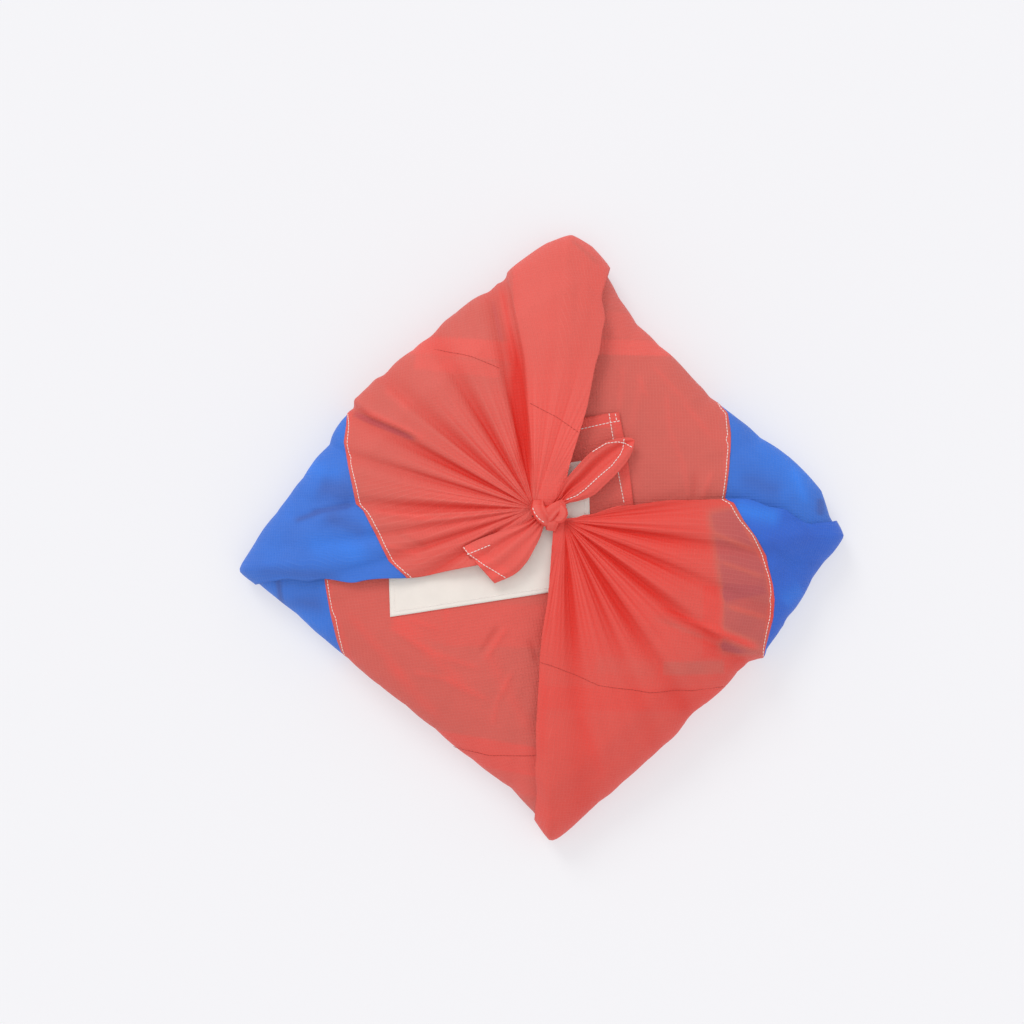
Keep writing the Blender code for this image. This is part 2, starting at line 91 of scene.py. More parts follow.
# The corner flaps. hem: the free edge, tip: row of its corner, threads: first, at the tip,
# last, lifts: above the body at the middle and at the rim, blue_side: side of the seam
# that is blue, grain: turn of the weave in degrees, tone: of the red cloth, 0 where it is
# sheer, 1 where it is lit, and less than 0 where it lies over blue cloth
# bands, changes of tone: x1, y1, x2, y2, half width, softness, amount
# creases: x1, y1, x2, y2, height, half width; their ridges are painted lighter and their
# valleys painted darker. blue_bands: the same with a change of tone, painted shade where
# they follow crease valleys
# stitches: rows of the hem, and joins of one red strip to the next, with x, y along each
# glow, blue_glow: how much painted fold glow the lit red cloth and the blue cloth get
FRONT_FLAP = {
    "name": "front_flap",
    "hem": (
        (-205, 32), (-150, 70), (-60, 98), (39, 114.5), (71.2, 119.7), (79, 78), (84.5, 34.6),
        (92, -40), (88, -130), (58, -196)),
    "tip": 4,
    "threads": (36, 46, 55),
    "lifts": (2.6, 0.7),
    "seam": (
        (-205, 20), (-204, -36), (-202.5, -48), (-199.5, -67), (-193.5, -94), (-190, -105),
        (-181, -119), (-174, -126.5), (-150, -155)),
    "blue_side": -1.0,
    "grain": 9.0,
    "tone": 0.25,
    "glow": 0.3,
    "bands": (
        (-140, -188, 40, -215, 14, 4, 0.55), (-140, -217, 40, -236, 12, 6, 0.25),
        (-138, -66, -90, -78, 18, 5, 0.3), (-92, -78, 4, -80, 20, 5, 0.3),
        (73.5, 120, 80, 60, 8, 2, 0.6), (80, 78, 86, 20, 8, 2, 0.6),
        (30, 109, 72, 115, 7, 2, 0.6), (-203, 20, -201, -60, 3.5, 2, 0.28),
        (-200, -60, -180, -120, 3.5, 2, 0.28)),
    "creases": (
        (-150, -60, -60, -150, 1.0, 6.0), (-60, -90, -5, -190, 0.8, 6.0),
        (-190, -60, -120, -140, 0.9, 5.0), (-150, -110, -90, -175, 0.8, 5.0),
        (-144, -80, -98, -108, 1.1, 2.6), (-110, -102, -54, -121, 1.1, 2.6),
        (-126, -122, -78, -132, 1.0, 2.8), (-92, -129, -46, -151, 1.0, 2.8),
        (-26, -118, -45, -157, 1.0, 2.4), (-42, -150, -47, -176, 0.8, 2.4),
        (-55, -114, -31, -77, 1.1, 2.4), (-60, -108, -40, -78, -1.2, 2.6),
        (-12, -90, -4, -116, -1.2, 2.6), (-128, -72, -92, -84, 0.9, 2.4),
        (-262, -34, -259, -60, 1.8, 7.0), (-250, -30, -248.5, -62, -1.2, 2.2)),
    "stitches": (
        ("front_hem_stitches_1", ((35, 103.5), (60, 109), (72.2, 111.2))),
        ("front_hem_stitches_2", ((61.8, 118.3), (65.5, 95.3), (70, 64), (75.7, 35))),
        ("front_hem_stitches_3", ((67.5, 118.3), (69, 111.2))),
        ("front_join", ((-83, -195), (-49, -202.5), (-16, -201.5), (-3, -200.5)))),
    "blue_glow": 0.0,
    "blue_bands": (
        (-285, -35, -190, -95, 0.3, 9.0), (-262, -60, -200, -60, -0.35, 8.0),
        (-250, -28, -248, -64, -1.2, 2.2)),
}
BACK_FLAP = {
    "name": "back_flap",
    "hem": (
        (205, -42), (150, -62), (60, -80), (-40, -86), (-118, -88), (-121, -20), (-116, 50),
        (-90, 130), (-42, 203)),
    "tip": 4,
    "threads": (-1, 9, 18),
    "lifts": (0.2, 0.7),
    "seam": (
        (190, 170), (161, 137), (170, 125), (175, 120), (177, 101), (176.5, 87), (174.5, 65),
        (172, 47), (170.5, 39), (160, -30), (150, -120)),
    "blue_side": 1.0,
    "grain": 0.0,
    "tone": 0.16,
    "glow": 0.0,
    "bands": (
        (40, 181.5, 160, 181.5, 7.5, 2, 0.6), (40, 203, 160, 203, 13, 4, 0.3),
        (40, 240, 90, 240, 20, 8, 0.15), (176, 100, 172, 40, 3.5, 2, 0.28),
        (163, 140, 178, 112, 3.5, 2, 0.28)),
    "creases": (
        (76, 168, 71, 116, 0.9, 2.4), (88, 158, 100, 130, 0.9, 2.2),
        (102, 166, 134, 130, 1.0, 2.4), (128, 137, 160, 94, 1.0, 2.4),
        (116, 141, 120, 97, 0.9, 2.2), (118, 106, 134, 64, 0.9, 2.4),
        (131, 74, 138, 34, 1.0, 2.2), (160, 68, 147, 34, 1.0, 2.4), (143, 66, 140, 34, -0.8, 2.6),
        (95, 160, 80, 95, 0.6, 4.0)),
    "stitches": (),
    "blue_glow": 0.0,
    "blue_bands": (
        (190, 110, 260, 40, 0.25, 14.0), (180, 60, 230, 45, -0.3, 9.0),
        (236, 74, 251, 30, 0.3, 5.0), (265, 41, 264, 22, -0.8, 4.0)),
}

# The gathered corners. swing: share of the way out, sideways swing of the first and the
# last edge, valleys: bearing from the neck, depth, half width before and after it,
# fine: bearing, depth and half width of the small pleats, open: a bearing where there is
# no cloth, overlap: edge of the layer that lies over the rest
LEFT_FAN = {
    "name": "left_fan",
    "neck": (-8.0, 30.0),
    "open": 30.0,
    "threads": (37.5, 15.5),
    "swing": (
        (-0.04, 3.0, -14.0), (0.0, 13.0, -18.5), (0.05, 20.0, -22.0), (0.1, 27.0, -21.5),
        (0.2, 37.0, -20.0), (0.42, 34.0, -20.0), (0.7, 21.5, -14.0), (0.86, 9.0, -9.5),
        (1.0, 0.0, 0.0)),
    "valleys": (
        (101.0, 1.0, 5.0, 3.0), (120.5, 0.95, 4.0, 3.2), (139.0, 0.8, 4.0, 2.4),
        (152.5, 1.0, 2.2, 3.6), (164.0, 0.7, 2.0, 3.4), (179.0, 0.9, 2.4, 3.6),
        (190.0, 0.6, 2.0, 3.0), (199.0, 0.8, 2.4, 3.4), (212.0, 0.7, 4.0, 4.0)),
    "fine": (
        (74.0, 0.6, 2.4), (84.0, 0.5, 1.6), (95.0, 0.5, 1.2), (108.0, 0.5, 1.4),
        (113.5, 0.4, 1.0), (125.5, 0.5, 1.4), (132.0, 0.4, 1.2), (145.5, 0.5, 1.2),
        (157.5, 0.5, 1.0), (170.5, 0.5, 1.3), (184.5, 0.5, 1.0), (194.5, 0.5, 1.0),
        (205.0, 0.5, 1.4)),
    "seam": (
        (-230, 150), (-184, 122), (-184, 108), (-186, 92), (-182, 71), (-177, 50), (-174, 34),
        (-167, 28), (-158, 11), (-149, -7), (-143, -19), (-127.5, -33), (-110, -60)),
    "blue_side": -1.0,
    "overlap": (
        (-27.5, 300), (-27.5, 253.6), (-27.8, 237.5), (-25.9, 216), (-20, 185), (-17, 166),
        (-10.8, 76), (-1, 34)),
    "grain": 8.0,
    "tone": 0.2,
    "glow": 0.12,
    "bands": (
        # The first band is painted shade in the valley under the fold's ridge
        (-178, 120, -118, 95, 3.5, 4, -0.4), (-135, 186, -28, 176, 9, 3, 0.5),
        (-120, 168, -40, 158, 7, 4, 0.35), (-183, 122, -185, 92, 3.5, 2, 0.28),
        (-185, 92, -174, 34, 3.5, 2, 0.28), (-174, 34, -143, -19, 3.5, 2, 0.28),
        (-143, -19, -120, -45, 3.5, 2, 0.28)),
    "creases": (
        (-40, 245, -22, 150, 2.2, 3.5), (-50, 240, -30, 150, -1.2, 4.0),
        (-176, 125, -104, 91, 1.9, 3.4), (-178, 119, -112, 92, -2.2, 3.0),
        (-150, 145, -120, 120, 1.2, 5.0), (-236, 17, -206, 28, -1.0, 2.4),
        (-220, 25.5, -172, 34, -1.4, 2.4), (-214, 16, -176, 24, 1.0, 5.0),
        (-165, 28, -96, 20, 1.4, 3.0), (-150, -4, -110, -14, 1.0, 2.6),
        (-138, 8, -104, -8, -0.8, 2.4), (26, 287, 56, 259, -1.6, 1.8)),
    "stitches": (
        ("left_join_1", ((-109, 178.0), (-94, 176.5), (-79, 172), (-59, 166), (-40, 158.5))),
        ("left_join_2", ((-11.5, 126), (12, 114), (33, 99)))),
    "blue_glow": 0.0,
    "blue_bands": (
        (-230, 70, -182, 60, 0.3, 9.0), (-236, 17, -206, 28, -0.6, 2.4),
        (-220, 25.5, -172, 34, -0.6, 2.4), (-214, 54, -172, 38, -0.4, 12.0),
        (-208, 24, -160, 6, -0.35, 8.0), (-225, -5, -160, -10, 0.3, 12.0),
        (-280, -28, -180, -34, -0.3, 6.0)),
}
RIGHT_FAN = {
    "name": "right_fan",
    "neck": (20.0, 18.5),
    "open": -170.0,
    "threads": (0.5, -18.5),
    "swing": (
        (-0.04, 2.0, -6.0), (0.0, 3.0, -9.5), (0.05, 6.0, -9.5), (0.2, 15.0, -9.0),
        (0.43, 21.0, -11.0), (0.7, 23.0, -8.0), (0.86, 15.0, -3.5), (1.0, 0.0, 0.0)),
    "valleys": (
        (8.0, 0.5, 5.0, 5.0), (-9.5, 0.9, 3.6, 2.4), (-24.0, 0.8, 3.6, 2.4),
        (-38.5, 1.0, 3.8, 2.2), (-57.0, 1.0, 4.0, 2.6), (-67.5, 0.6, 3.4, 2.4),
        (-86.0, 0.9, 4.0, 4.0)),
    "fine": (
        (3.0, 0.4, 1.2), (-4.0, 0.4, 1.2), (-15.0, 0.5, 1.2), (-19.5, 0.4, 1.0),
        (-30.0, 0.5, 1.4), (-45.0, 0.5, 1.2), (-50.5, 0.5, 1.2), (-62.0, 0.4, 1.0),
        (-73.5, 0.5, 1.2), (-79.0, 0.5, 1.2), (-92.0, 0.5, 1.6)),
    "seam": (
        (160, 90), (171, 38), (178, 35), (187, 19), (199.5, 2), (209, -14), (211, -24),
        (216, -42), (218, -56), (217.5, -72), (213.5, -88), (209, -109), (222, -150)),
    "blue_side": 1.0,
    "overlap": None,
    "grain": -8.0,
    "tone": 0.6,
    "glow": 0.5,
    "bands": (
        (176, 32, 190, -50, 24, 12, -0.85), (192, -45, 188, -108, 24, 10, -0.75),
        (158.7, -42, 158.7, -109, 9.5, 3, 0.3), (112, -119, 171, -119, 6.5, 3, -0.5),
        (50, -114, 107, -120, 8, 8, -0.2), (0, -146, 170, -150, 11, 5, 0.25),
        (174, 36, 187, 19, 3.5, 2, 0.28), (187, 19, 211, -24, 3.5, 2, 0.28),
        (211, -24, 218, -60, 3.5, 2, 0.28), (218, -60, 209, -109, 3.5, 2, 0.28)),
    "creases": (
        (140, -75, 212, -104, 2.2, 4.0), (-2, -110, 0, -210, 1.0, 5.0),
        (30, -150, 60, -230, 0.8, 6.0), (150, 10, 205, -12, 0.9, 2.4),
        (160, -18, 212, -36, 0.8, 2.4), (168, -60, 214, -74, 0.9, 2.6),
        (100, -60, 208, -104, 2.6, 3.0), (96, -68, 200, -112, -1.6, 3.0)),
    "stitches": (
        ("right_join",
         ((-1, -112), (15, -118), (52, -133), (98, -139.5), (135, -138.5), (167, -134))),),
    "blue_glow": 0.42,
    "blue_bands": (
        (172, 32, 228, 20, 0.5, 10.0), (225, -60, 250, -45, 0.3, 10.0),
        (200, -5, 270, 5, -0.25, 10.0)),
}

# Fine gathers by distance from the neck: height of the small pleats
FINE_HEIGHTS = ((0.0, 0.6), (15.0, 1.4), (40.0, 1.8), (80.0, 1.2), (130.0, 0.4), (330.0, 0.0))
NECK_TUCK = -0.05
OVERLAP_STEP = 3.0
OVERLAP_VALLEY = 2.5
OVERLAP_EDGE = 3.0
OVERLAP_VALLEY_WIDTH = 5.0
OVERLAP_STARTS = 15.0
OVERLAP_GROWS = 60.0

# Gathers running out of the knots: degrees from one to the next, share of the height
GATHERS = ((2.6, 0.45), (4.1, 0.35), (1.9, 0.2))
GATHER_HEIGHT = 0.45
GATHERS_FULL = 45.0
GATHERS_FADE = 110.0

# Where flaps and gathered corners come down to their height at the rim: share of the way
# out where it starts, and over how much of it
FLAP_FALL = (0.78, 0.12)
FAN_FALL = (0.8, 0.1)

# Share of a crease's length over which each of its ends fades
CREASE_TAPER = 0.25

# Unevenness of the lying cloth: turn in degrees, length and height of each wave
SLACK_WAVES = (
    (12.0, 64.0, 0.45), (71.0, 47.0, 0.35), (128.0, 39.0, 0.30), (160.0, 27.0, 0.18),
    (38.0, 21.0, 0.14), (99.0, 17.0, 0.10))
FLAP_SLACK = 0.5
FAN_SLACK = 0.35

# Cloth, its seams, hems and stitches
CLOTH_THICKNESS = 0.4
BLUE_RISE = 0.5
RED_RISE = 1.2
SEAM_LAP = 8.0
SEAM_STITCH_INSET = 4.3
SEAM_EVEN = 9
SEAM_STEPS = 700
TAPE_THICKNESS = 0.7
STITCH_PITCH = 3.2
STITCH_WIDTH = 0.8
STITCH_SHARE = 0.86
STITCH_RISE = 0.1
STITCH_CORNERS = 6
JOIN_WIDTH = 0.5
ROWS_ON_TOP = 105
ROWS_ON_SIDE = 34

# One stitch: share of its half length, share of its half width there
STITCH_FORM = ((-1.0, 0.12), (-0.8, 0.75), (0.0, 1.0), (0.8, 0.75), (1.0, 0.12))

# The filled middle: threads drawn, turns from the crown to the foot as from, to and count,
# where its sunk top ends and over how much, rows under the foot and tone of its cloth
BODY_COLUMNS = 240
BODY_TURNS = ((0.02, 0.7, 14), (0.73, 2.0, 34))
BODY_SINK_END = (0.62, 0.2)
FOOT_SHARES = (0.92, 0.75, 0.5, 0.25, 0.0005)
BODY_TONE = 0.6

# The middle strip of the cloth on the underside: turn of its weave in degrees, from and to
MIDDLE_TURN = 2.6
MIDDLE_STRIP = (-118.0, 130.0)
UNDER_STITCH = 0.35

# Label: corners round from the near left one, height above the front flap, flat size
LABEL_CORNERS = ((-141.5, -71.0), (46.5, -42.0), (42.0, 75.0), (-145.5, 45.5))
LABEL_RISE = 2.3
LABEL_WIDTH = 190.0
LABEL_DEPTH = 117.0
LABEL_STITCH_INSET = 4.5
LABEL_ROWS = 60
LABEL_COLUMNS = 90

# The tails. edges: x, y of the two side edges and their height above the body
# across, from one side edge to the other: share, height as a share of the width, painted fold
# shade
# stitches: x, y along each row
LEFT_TAIL = {
    "name": "left_tail",
    "edges": (
        (-7.0, 23.0, 2.0, 17.5, 14.0), (-15.0, 18.0, 0.5, 12.0, 13.4),
        (-26.0, 13.5, -2.5, 3.0, 13.9), (-43.0, 7.5, -8.0, -8.0, 14.0),
        (-58.0, 1.8, -15.0, -20.0, 13.8), (-68.0, -3.0, -26.0, -31.0, 13.4),
        (-74.0, -6.5, -44.5, -39.5, 13.2)),
    "across": (
        (0.0, 0.0, 0.1), (0.2, 0.05, 0.0), (0.36, -0.01, 0.35), (0.55, 0.08, 0.0),
        (0.72, 0.03, 0.2), (0.88, 0.05, 0.0), (1.0, 0.0, 0.0)),
    "stitches": (
        ((-73.7, -5.7), (-68.7, -12.2), (-55.3, -21.7), (-34.3, -34.4)),
        ((-77.5, -16.0), (-68.7, -12.2), (-48.3, -3.8))),
}
RIGHT_TAIL = {
    "name": "right_tail",
    "edges": (
        (6.5, 32.0, 16.0, 28.5, 15.0), (13.6, 41.4, 22.4, 34.2, 14.2),
        (21.4, 56.0, 33.0, 36.8, 14.8), (31.0, 67.5, 46.5, 41.8, 15.8),
        (43.5, 80.5, 58.0, 52.0, 15.0), (57.5, 90.0, 71.5, 65.5, 13.0),
        (69.5, 94.5, 79.5, 76.0, 11.0), (80.0, 95.0, 83.5, 84.5, 9.8),
        (84.5, 93.0, 84.8, 90.0, 9.4)),
    "across": (
        (0.0, 0.0, 0.2), (0.14, -0.03, 0.15), (0.36, -0.20, 0.8), (0.5, -0.14, 0.35),
        (0.64, -0.02, 0.2), (0.8, 0.0, 0.15), (1.0, -0.06, 0.2)),
    "stitches": (
        ((45.6, 82.2), (58.9, 90.3), (69.4, 91.7), (76, 90.7), (83.1, 86.5)),
        ((75.5, 95), (74.6, 85.5), (71.3, 78.9), (63.7, 69.4), (51.3, 58.9), (39, 47.5),
         (31.4, 41.8), (21.9, 38))),
}
TAIL_THICKNESS = 0.8
TAIL_ROWS = 90
TAIL_COLUMNS = 64
TAIL_GATHERS = 4.5
TAIL_GATHER_HEIGHT = 0.9
TAIL_GATHER_END = 0.6
TAIL_CURL = 0.8
TAIL_GLOW = 0.15
TAIL_RISE = 1.05
TAIL_TONE = 0.7
TIP_SHARE = 0.8
TAIL_STITCH_RISE = 0.2

# Knot: middle, height above the body, and the bands that it is tied of: x, y, height above
# the middle, half width, half thickness. Its stitches: x, y, height above the middle
KNOT_CENTRE = (5.5, 25.5)
KNOT_LIFT = 15.5
KNOT_STRANDS = (
    ((-11, 3, -2.5, 6.0, 2.6), (-4, -1, -1, 8.0, 3.0), (4, -1, -1, 8.0, 3.0),
     (12, 1, -2.5, 6.0, 2.6)),
    ((4.5, -2, -1, 5.0, 2.0), (3.6, -6.5, 0.6, 6.4, 2.2), (2.6, -10.5, 0, 6.0, 2.2),
     (2, -15.5, -3, 4.6, 1.8)),
    ((6.5, 5.5, 0, 4.4, 1.8), (11, 4.6, 2.2, 4.6, 2.0), (13, 0, 2.8, 4.6, 2.2),
     (10.5, -4.4, 2.4, 4.6, 2.0), (5, -5, 0.8, 4.2, 1.8)),
    ((14, 9.5, -2, 4.0, 1.8), (9, 6.5, 2.4, 5.0, 2.0), (3.6, 2.6, 4.0, 6.0, 2.0),
     (-0.5, -2.5, 3.0, 6.2, 2.0), (-3.5, -6.5, 0.5, 5.6, 1.8)),
    ((-9.5, 11, -4, 5.4, 2.0), (-9.8, 5.5, 1.8, 6.4, 2.4), (-8.0, 0.5, 4.0, 6.8, 2.6),
     (-4.4, -4.5, 3.6, 6.4, 2.4), (0.5, -8.5, 0, 5.2, 2.0)))
KNOT_STITCHES = (
    (-15.0, 5.5, 4.0), (-13.6, 1.5, 5.4), (-11.2, -2.5, 6.2), (-8.0, -6.0, 6.0),
    (-4.0, -8.6, 4.8))
KNOT_ROWS = 60
KNOT_COLUMNS = 72
KNOT_ROUNDING = (0.7, 0.9)
KNOT_GROOVE = 0.035
KNOT_TONE = 0.8

# Tone and glow of the red cloth by its creases, pleats and gathers, and of the blue: painted
# highlights on ridges, painted fold shade and glow in valleys
CREASE_LIGHT = 0.28
CREASE_GLOW = 0.25
PLEAT_LIGHT = 0.5
PLEAT_GLOW_NEAR = 60.0
PLEAT_GLOW_FADE = 110.0
VALLEY_POWER = 1.3
SMALL_GLOW = 0.35
FAR_GLOW = 0.25
GATHER_GLOW = 0.3
BLUE_TONE = 0.45
BLUE_BAND_SHARE = 0.8

# Along the overlap: distances from the neck where the painted shade and glow of its valley
# starts, is whole, fades and ends
OVERLAP_GLOW_REACH = (10.0, 50.0, 120.0, 190.0)
OVERLAP_GLOW = 0.9
OVERLAP_GLOW_PLACE = 6.0
OVERLAP_GLOW_WIDTH = 6.5
OVERLAP_LIGHT = 0.35

# Weaves and textures. Sizes of patterns in mm, counts in threads to the centimetre
# Tones: value of the texture, from and to, and change of tone, from and to
CLOTH_IOR = 1.5
RIPSTOP_ROUGHNESS = 0.5
RIPSTOP_SHINE = 0.22
COTTON_ROUGHNESS = 0.85
COTTON_SHINE = 0.5
GRID_PITCH = 3.0
GRID_THREAD = 0.5
GRID_HEIGHT = 0.35
GRID_SHOWS = (0.12, 0.03)
CLOUD_SIZE = 71.4286
CLOUD_TONES = (0.3, 0.7, -0.12, 0.12)
CRUMPLE_SIZE = 7.69231
CRUMPLE_HEIGHT = 2.2
WRINKLE_LENGTH = 111.111
WRINKLE_WIDTH = 29.4118
WRINKLE_TURN = 0.7
WRINKLE_HEIGHT = 1.2
# Painted sheen: the crests of the long wrinkles are made lighter
CREST_SHEEN_TONES = (0.9, 1.6, 0.0, 0.35)
COTTON_CLOUD_SIZE = 16.6667
COTTON_HEIGHT = 0.15
TAPE_COUNT = 18.0
THREAD_COUNT = 30.0

# Colours of the cloth: lit, where it is sheer, its painted fold shade and glow, and of its grid
RED_LIT = "F5645B"
RED_SHEER = "D3645A"
RED_FOLD_SHADE = "E2362C"
RED_GRID = "FF9A90"
RED_UNDER = "E66056"
UNDER_GRID = "C09CC4"
RED_OVER_BLUE = "BE575A"
DUSK_TONE = -0.35
BLUE_LIT = "3A86F6"
BLUE_SHEER = "4466BA"
BLUE_FOLD_SHADE = "2C54CE"
BLUE_GRID = "6C9AEE"
RED_JOIN = "B84038"
CREAM = "F6EDE5"
THREAD = "FBF3EE"
FLOOR = "F5F4FA"

# Floor, light and camera. Suns: turn about X and Y, spread in degrees, power
FLOOR_REACH = 3000.0
FLOOR_DROP = 0.2
FLOOR_GREY = 0.45
FLOOR_GLOW = 0.52
FLOOR_ROUGHNESS = 0.9
FLOOR_SHINE = 0.1
SKY = 0.78
SUNS = (("key", -44.0, -34.0, 22.0, 0.86), ("fill", 24.0, 34.0, 60.0, 0.15))
CAMERA_PLACE = (-28.5, 26.6, 2200.0)
CAMERA_LENS = 80.3
CAMERA_SENSOR = 36.0


def smooth_step(value):
    """0 to 1 with soft ends: t·t·(3 − 2t)."""
    inside = np.clip(value, 0.0, 1.0)
    return inside * inside * (3.0 - 2.0 * inside)


def table(rows, where, column):
    """Read a column of a table at any place along its first column, eased between rows."""
    keys = np.array([row[0] for row in rows], dtype=float)
    values = np.array([row[column] for row in rows], dtype=float)
    spot = np.clip(np.searchsorted(keys, where, side="right") - 1, 0, len(keys) - 2)
    ease = smooth_step((where - keys[spot]) / (keys[spot + 1] - keys[spot]))
    return values[spot] * (1.0 - ease) + values[spot + 1] * ease


def thread_bearing(number):
    """Bearing in degrees of a thread, counted round from the right corner."""
    turns = np.floor_divide(number, THREADS)
    corners = np.array(CORNERS, dtype=float)
    return np.interp(number - turns * THREADS, corners[:, 0], corners[:, 1]) + 360.0 * turns


def bearing_of(x, y):
    """Bearing in degrees of a plan position, round the middle."""
    return np.degrees(np.arctan2(y, x))


def section(bearing):
    """Reach, height of the widest line and fullness of the section at a bearing."""
    points = np.array(OUTLINE, dtype=float)
    angles = bearing_of(points[:, 0], points[:, 1]) % 360.0
    order = np.argsort(angles)
    radii = np.hypot(points[:, 0], points[:, 1])[order]
    reach = np.interp(np.asarray(bearing) % 360.0, angles[order], radii, period=360.0)
    turned = (np.asarray(bearing) - SECTIONS[0][0]) % 360.0 + SECTIONS[0][0]
    outer = reach - FAN_LIFT_RIM - SOLID_THICKNESS
    return outer, table(SECTIONS, turned, 1), table(SECTIONS, turned, 2)


def top_point(x, y):
    """The body's top: z = waist + (crown − waist)·sqrt(1 − (r / reach)^fullness)."""
    outer, waist, fullness = section(bearing_of(x, y))
    share = np.clip(np.hypot(x, y) / outer, 0.0, 0.9999)
    rise = (CROWN_HEIGHT - waist) * np.sqrt(1.0 - share ** fullness)
    return np.stack([x, y, waist + rise], axis=-1)


def side_point(bearing, turn):
    """The body's skin at a bearing: turn 0 the middle of the top, 1 the widest line, 2 the foot.

    Out to the widest line: r = reach·sin(turn·90°)^(2 / fullness). Below it the skin draws in.
    """
    outer, waist, fullness = section(bearing)
    upper = np.clip(turn, 0.0, 1.0) * math.pi / 2.0
    lower = np.clip(turn - 1.0, 0.0, 1.0) * math.pi / 2.0
    out = outer * np.sin(upper) ** (2.0 / fullness) - BASE_INSET * (1.0 - np.cos(lower))
    high = waist + (CROWN_HEIGHT - waist) * np.cos(upper)
    height = np.where(turn > 1.0, waist * (1.0 - np.sin(lower)), high)
    angle = np.radians(bearing)
    return np.stack([out * np.cos(angle), out * np.sin(angle), height], axis=-1)


def lifted(point, across, along, lift):
    """A surface point raised by lift along the cross product of two of its directions."""
    normal = np.cross(across, along)
    normal /= np.linalg.norm(normal, axis=-1, keepdims=True)
    return point + normal * np.asarray(lift)[..., None]


def lifted_top(x, y, lift):
    """Plan positions on the top, raised along the body's normal by lift."""
    step = 2.5
    across = top_point(x + step, y) - top_point(x - step, y)
    along = top_point(x, y + step) - top_point(x, y - step)
    return lifted(top_point(x, y), across, along, lift)


def lifted_side(bearing, turn, lift):
    """Places on the side, raised along the body's normal by lift."""
    step = 0.01
    down = side_point(bearing, turn + step) - side_point(bearing, turn - step)
    round_ = side_point(bearing + 1.0, turn) - side_point(bearing - 1.0, turn)
    return lifted(side_point(bearing, turn), down, round_, lift)


def line_side(x, y, line):
    """Distance to a line of points, positive on the left of its direction."""
    points = np.array(line, dtype=float)
    best = np.full(np.shape(x), np.inf)
    side = np.ones(np.shape(x))
    for start, end in zip(points[:-1], points[1:]):
        run = end - start
        from_x = x - start[0]
        from_y = y - start[1]
        share = np.clip((from_x * run[0] + from_y * run[1]) / np.dot(run, run), 0.0, 1.0)
        gap = np.hypot(from_x - share * run[0], from_y - share * run[1])
        turn = np.where(run[0] * from_y - run[1] * from_x >= 0.0, 1.0, -1.0)
        side = np.where(gap < best, turn, side)
        best = np.minimum(gap, best)
    return best * side


def along_line(points, length):
    """Places at given lengths along a line of points."""
    line = np.array(points, dtype=float)
    run = np.concatenate([[0.0], np.cumsum(np.linalg.norm(np.diff(line, axis=0), axis=1))])
    return np.stack([np.interp(length, run, line[:, axis])
                     for axis in range(line.shape[1])], axis=-1), run


def side_turn(bearing, along):
    """Turn of a place on the side: along 1 is the top's rim and 2 the foot."""
    waist, fullness = section(bearing)[1:]
    first = np.arcsin(TOP_SHARE ** (fullness / 2.0)) / (math.pi / 2.0)
    under = FAN_LIFT_RIM + SOLID_THICKNESS
    foot = 1.0 + np.arcsin((waist - HEM_HEIGHT) / (waist + under)) / (math.pi / 2.0)
    return first + (foot - first) * np.clip(along - 1.0, 0.0, 1.0)


def rim_point(number):
    """Bearing of a thread and its place on the rim of the top."""
    bearing = thread_bearing(number)
    out = section(bearing)[0] * TOP_SHARE
    angle = np.radians(bearing)
    return bearing, np.stack([np.cos(angle) * out, np.sin(angle) * out], axis=-1)


def nearness(x, y):
    """Share of the way from the middle to the widest line."""
    return np.hypot(x, y) / section(bearing_of(x, y))[0]


def along_creases(x, y, rows):
    """Soft troughs and ridges: the sum of height·exp(−(distance to the line / width)²)."""
    total = np.zeros(np.shape(x))
    for x1, y1, x2, y2, height, width in rows:
        run_x, run_y = x2 - x1, y2 - y1
        length = math.hypot(run_x, run_y)
        share = ((x - x1) * run_x + (y - y1) * run_y) / length ** 2
        across = ((x - x1) * run_y - (y - y1) * run_x) / length
        fade = smooth_step(share / CREASE_TAPER) * smooth_step((1.0 - share) / CREASE_TAPER)
        total = total + height * fade * np.exp(-(across / width) ** 2)
    return total


def slack(x, y):
    """The cloth's small unevenness: a sum of long waves of different directions."""
    total = np.zeros(np.shape(x))
    for turn, length, height in SLACK_WAVES:
        angle = math.radians(turn)
        run = (x * math.cos(angle) + y * math.sin(angle)) * 2.0 * math.pi / length
        total = total + height * np.sin(run + 1.7 * np.sin(run * 0.37 + turn))
    return total


def flap_lift(flap, x, y):
    """Height of a flap above the body at a plan position."""
    inner, outer = flap["lifts"]
    lift = inner + (outer - inner) * smooth_step((nearness(x, y) - FLAP_FALL[0]) / FLAP_FALL[1])
    return lift + along_creases(x, y, flap["creases"]) + FLAP_SLACK * slack(x, y)


def from_neck(fan, x, y):
    """Distance from the neck of a gathered corner, and bearing from it, without a jump."""
    away_x, away_y = x - fan["neck"][0], y - fan["neck"][1]
    seen = bearing_of(away_x, away_y)
    seen = np.where(seen < fan["open"], seen + 360.0, seen)
    return np.hypot(away_x, away_y), seen


def pleats(fan, bearing, distance):
    """Depth of the valleys, 0 on a ridge and 1 in a valley, and of the small pleats."""
    form = np.ones(np.shape(bearing))
    spread = PLEAT_SPREAD + (1.0 - PLEAT_SPREAD) * smooth_step(distance / PLEAT_SPREAD_REACH)
    for at, depth, before, after in fan["valleys"]:
        width = np.where(bearing < at, before, after) * spread
        form = form * (1.0 - depth * np.exp(-((bearing - at) / width) ** 2))
    small = np.zeros(np.shape(bearing))
    for at, depth, width in fan["fine"]:
        small = small + depth * np.exp(-((bearing - at) / width) ** 2)
    return 1.0 - form, small


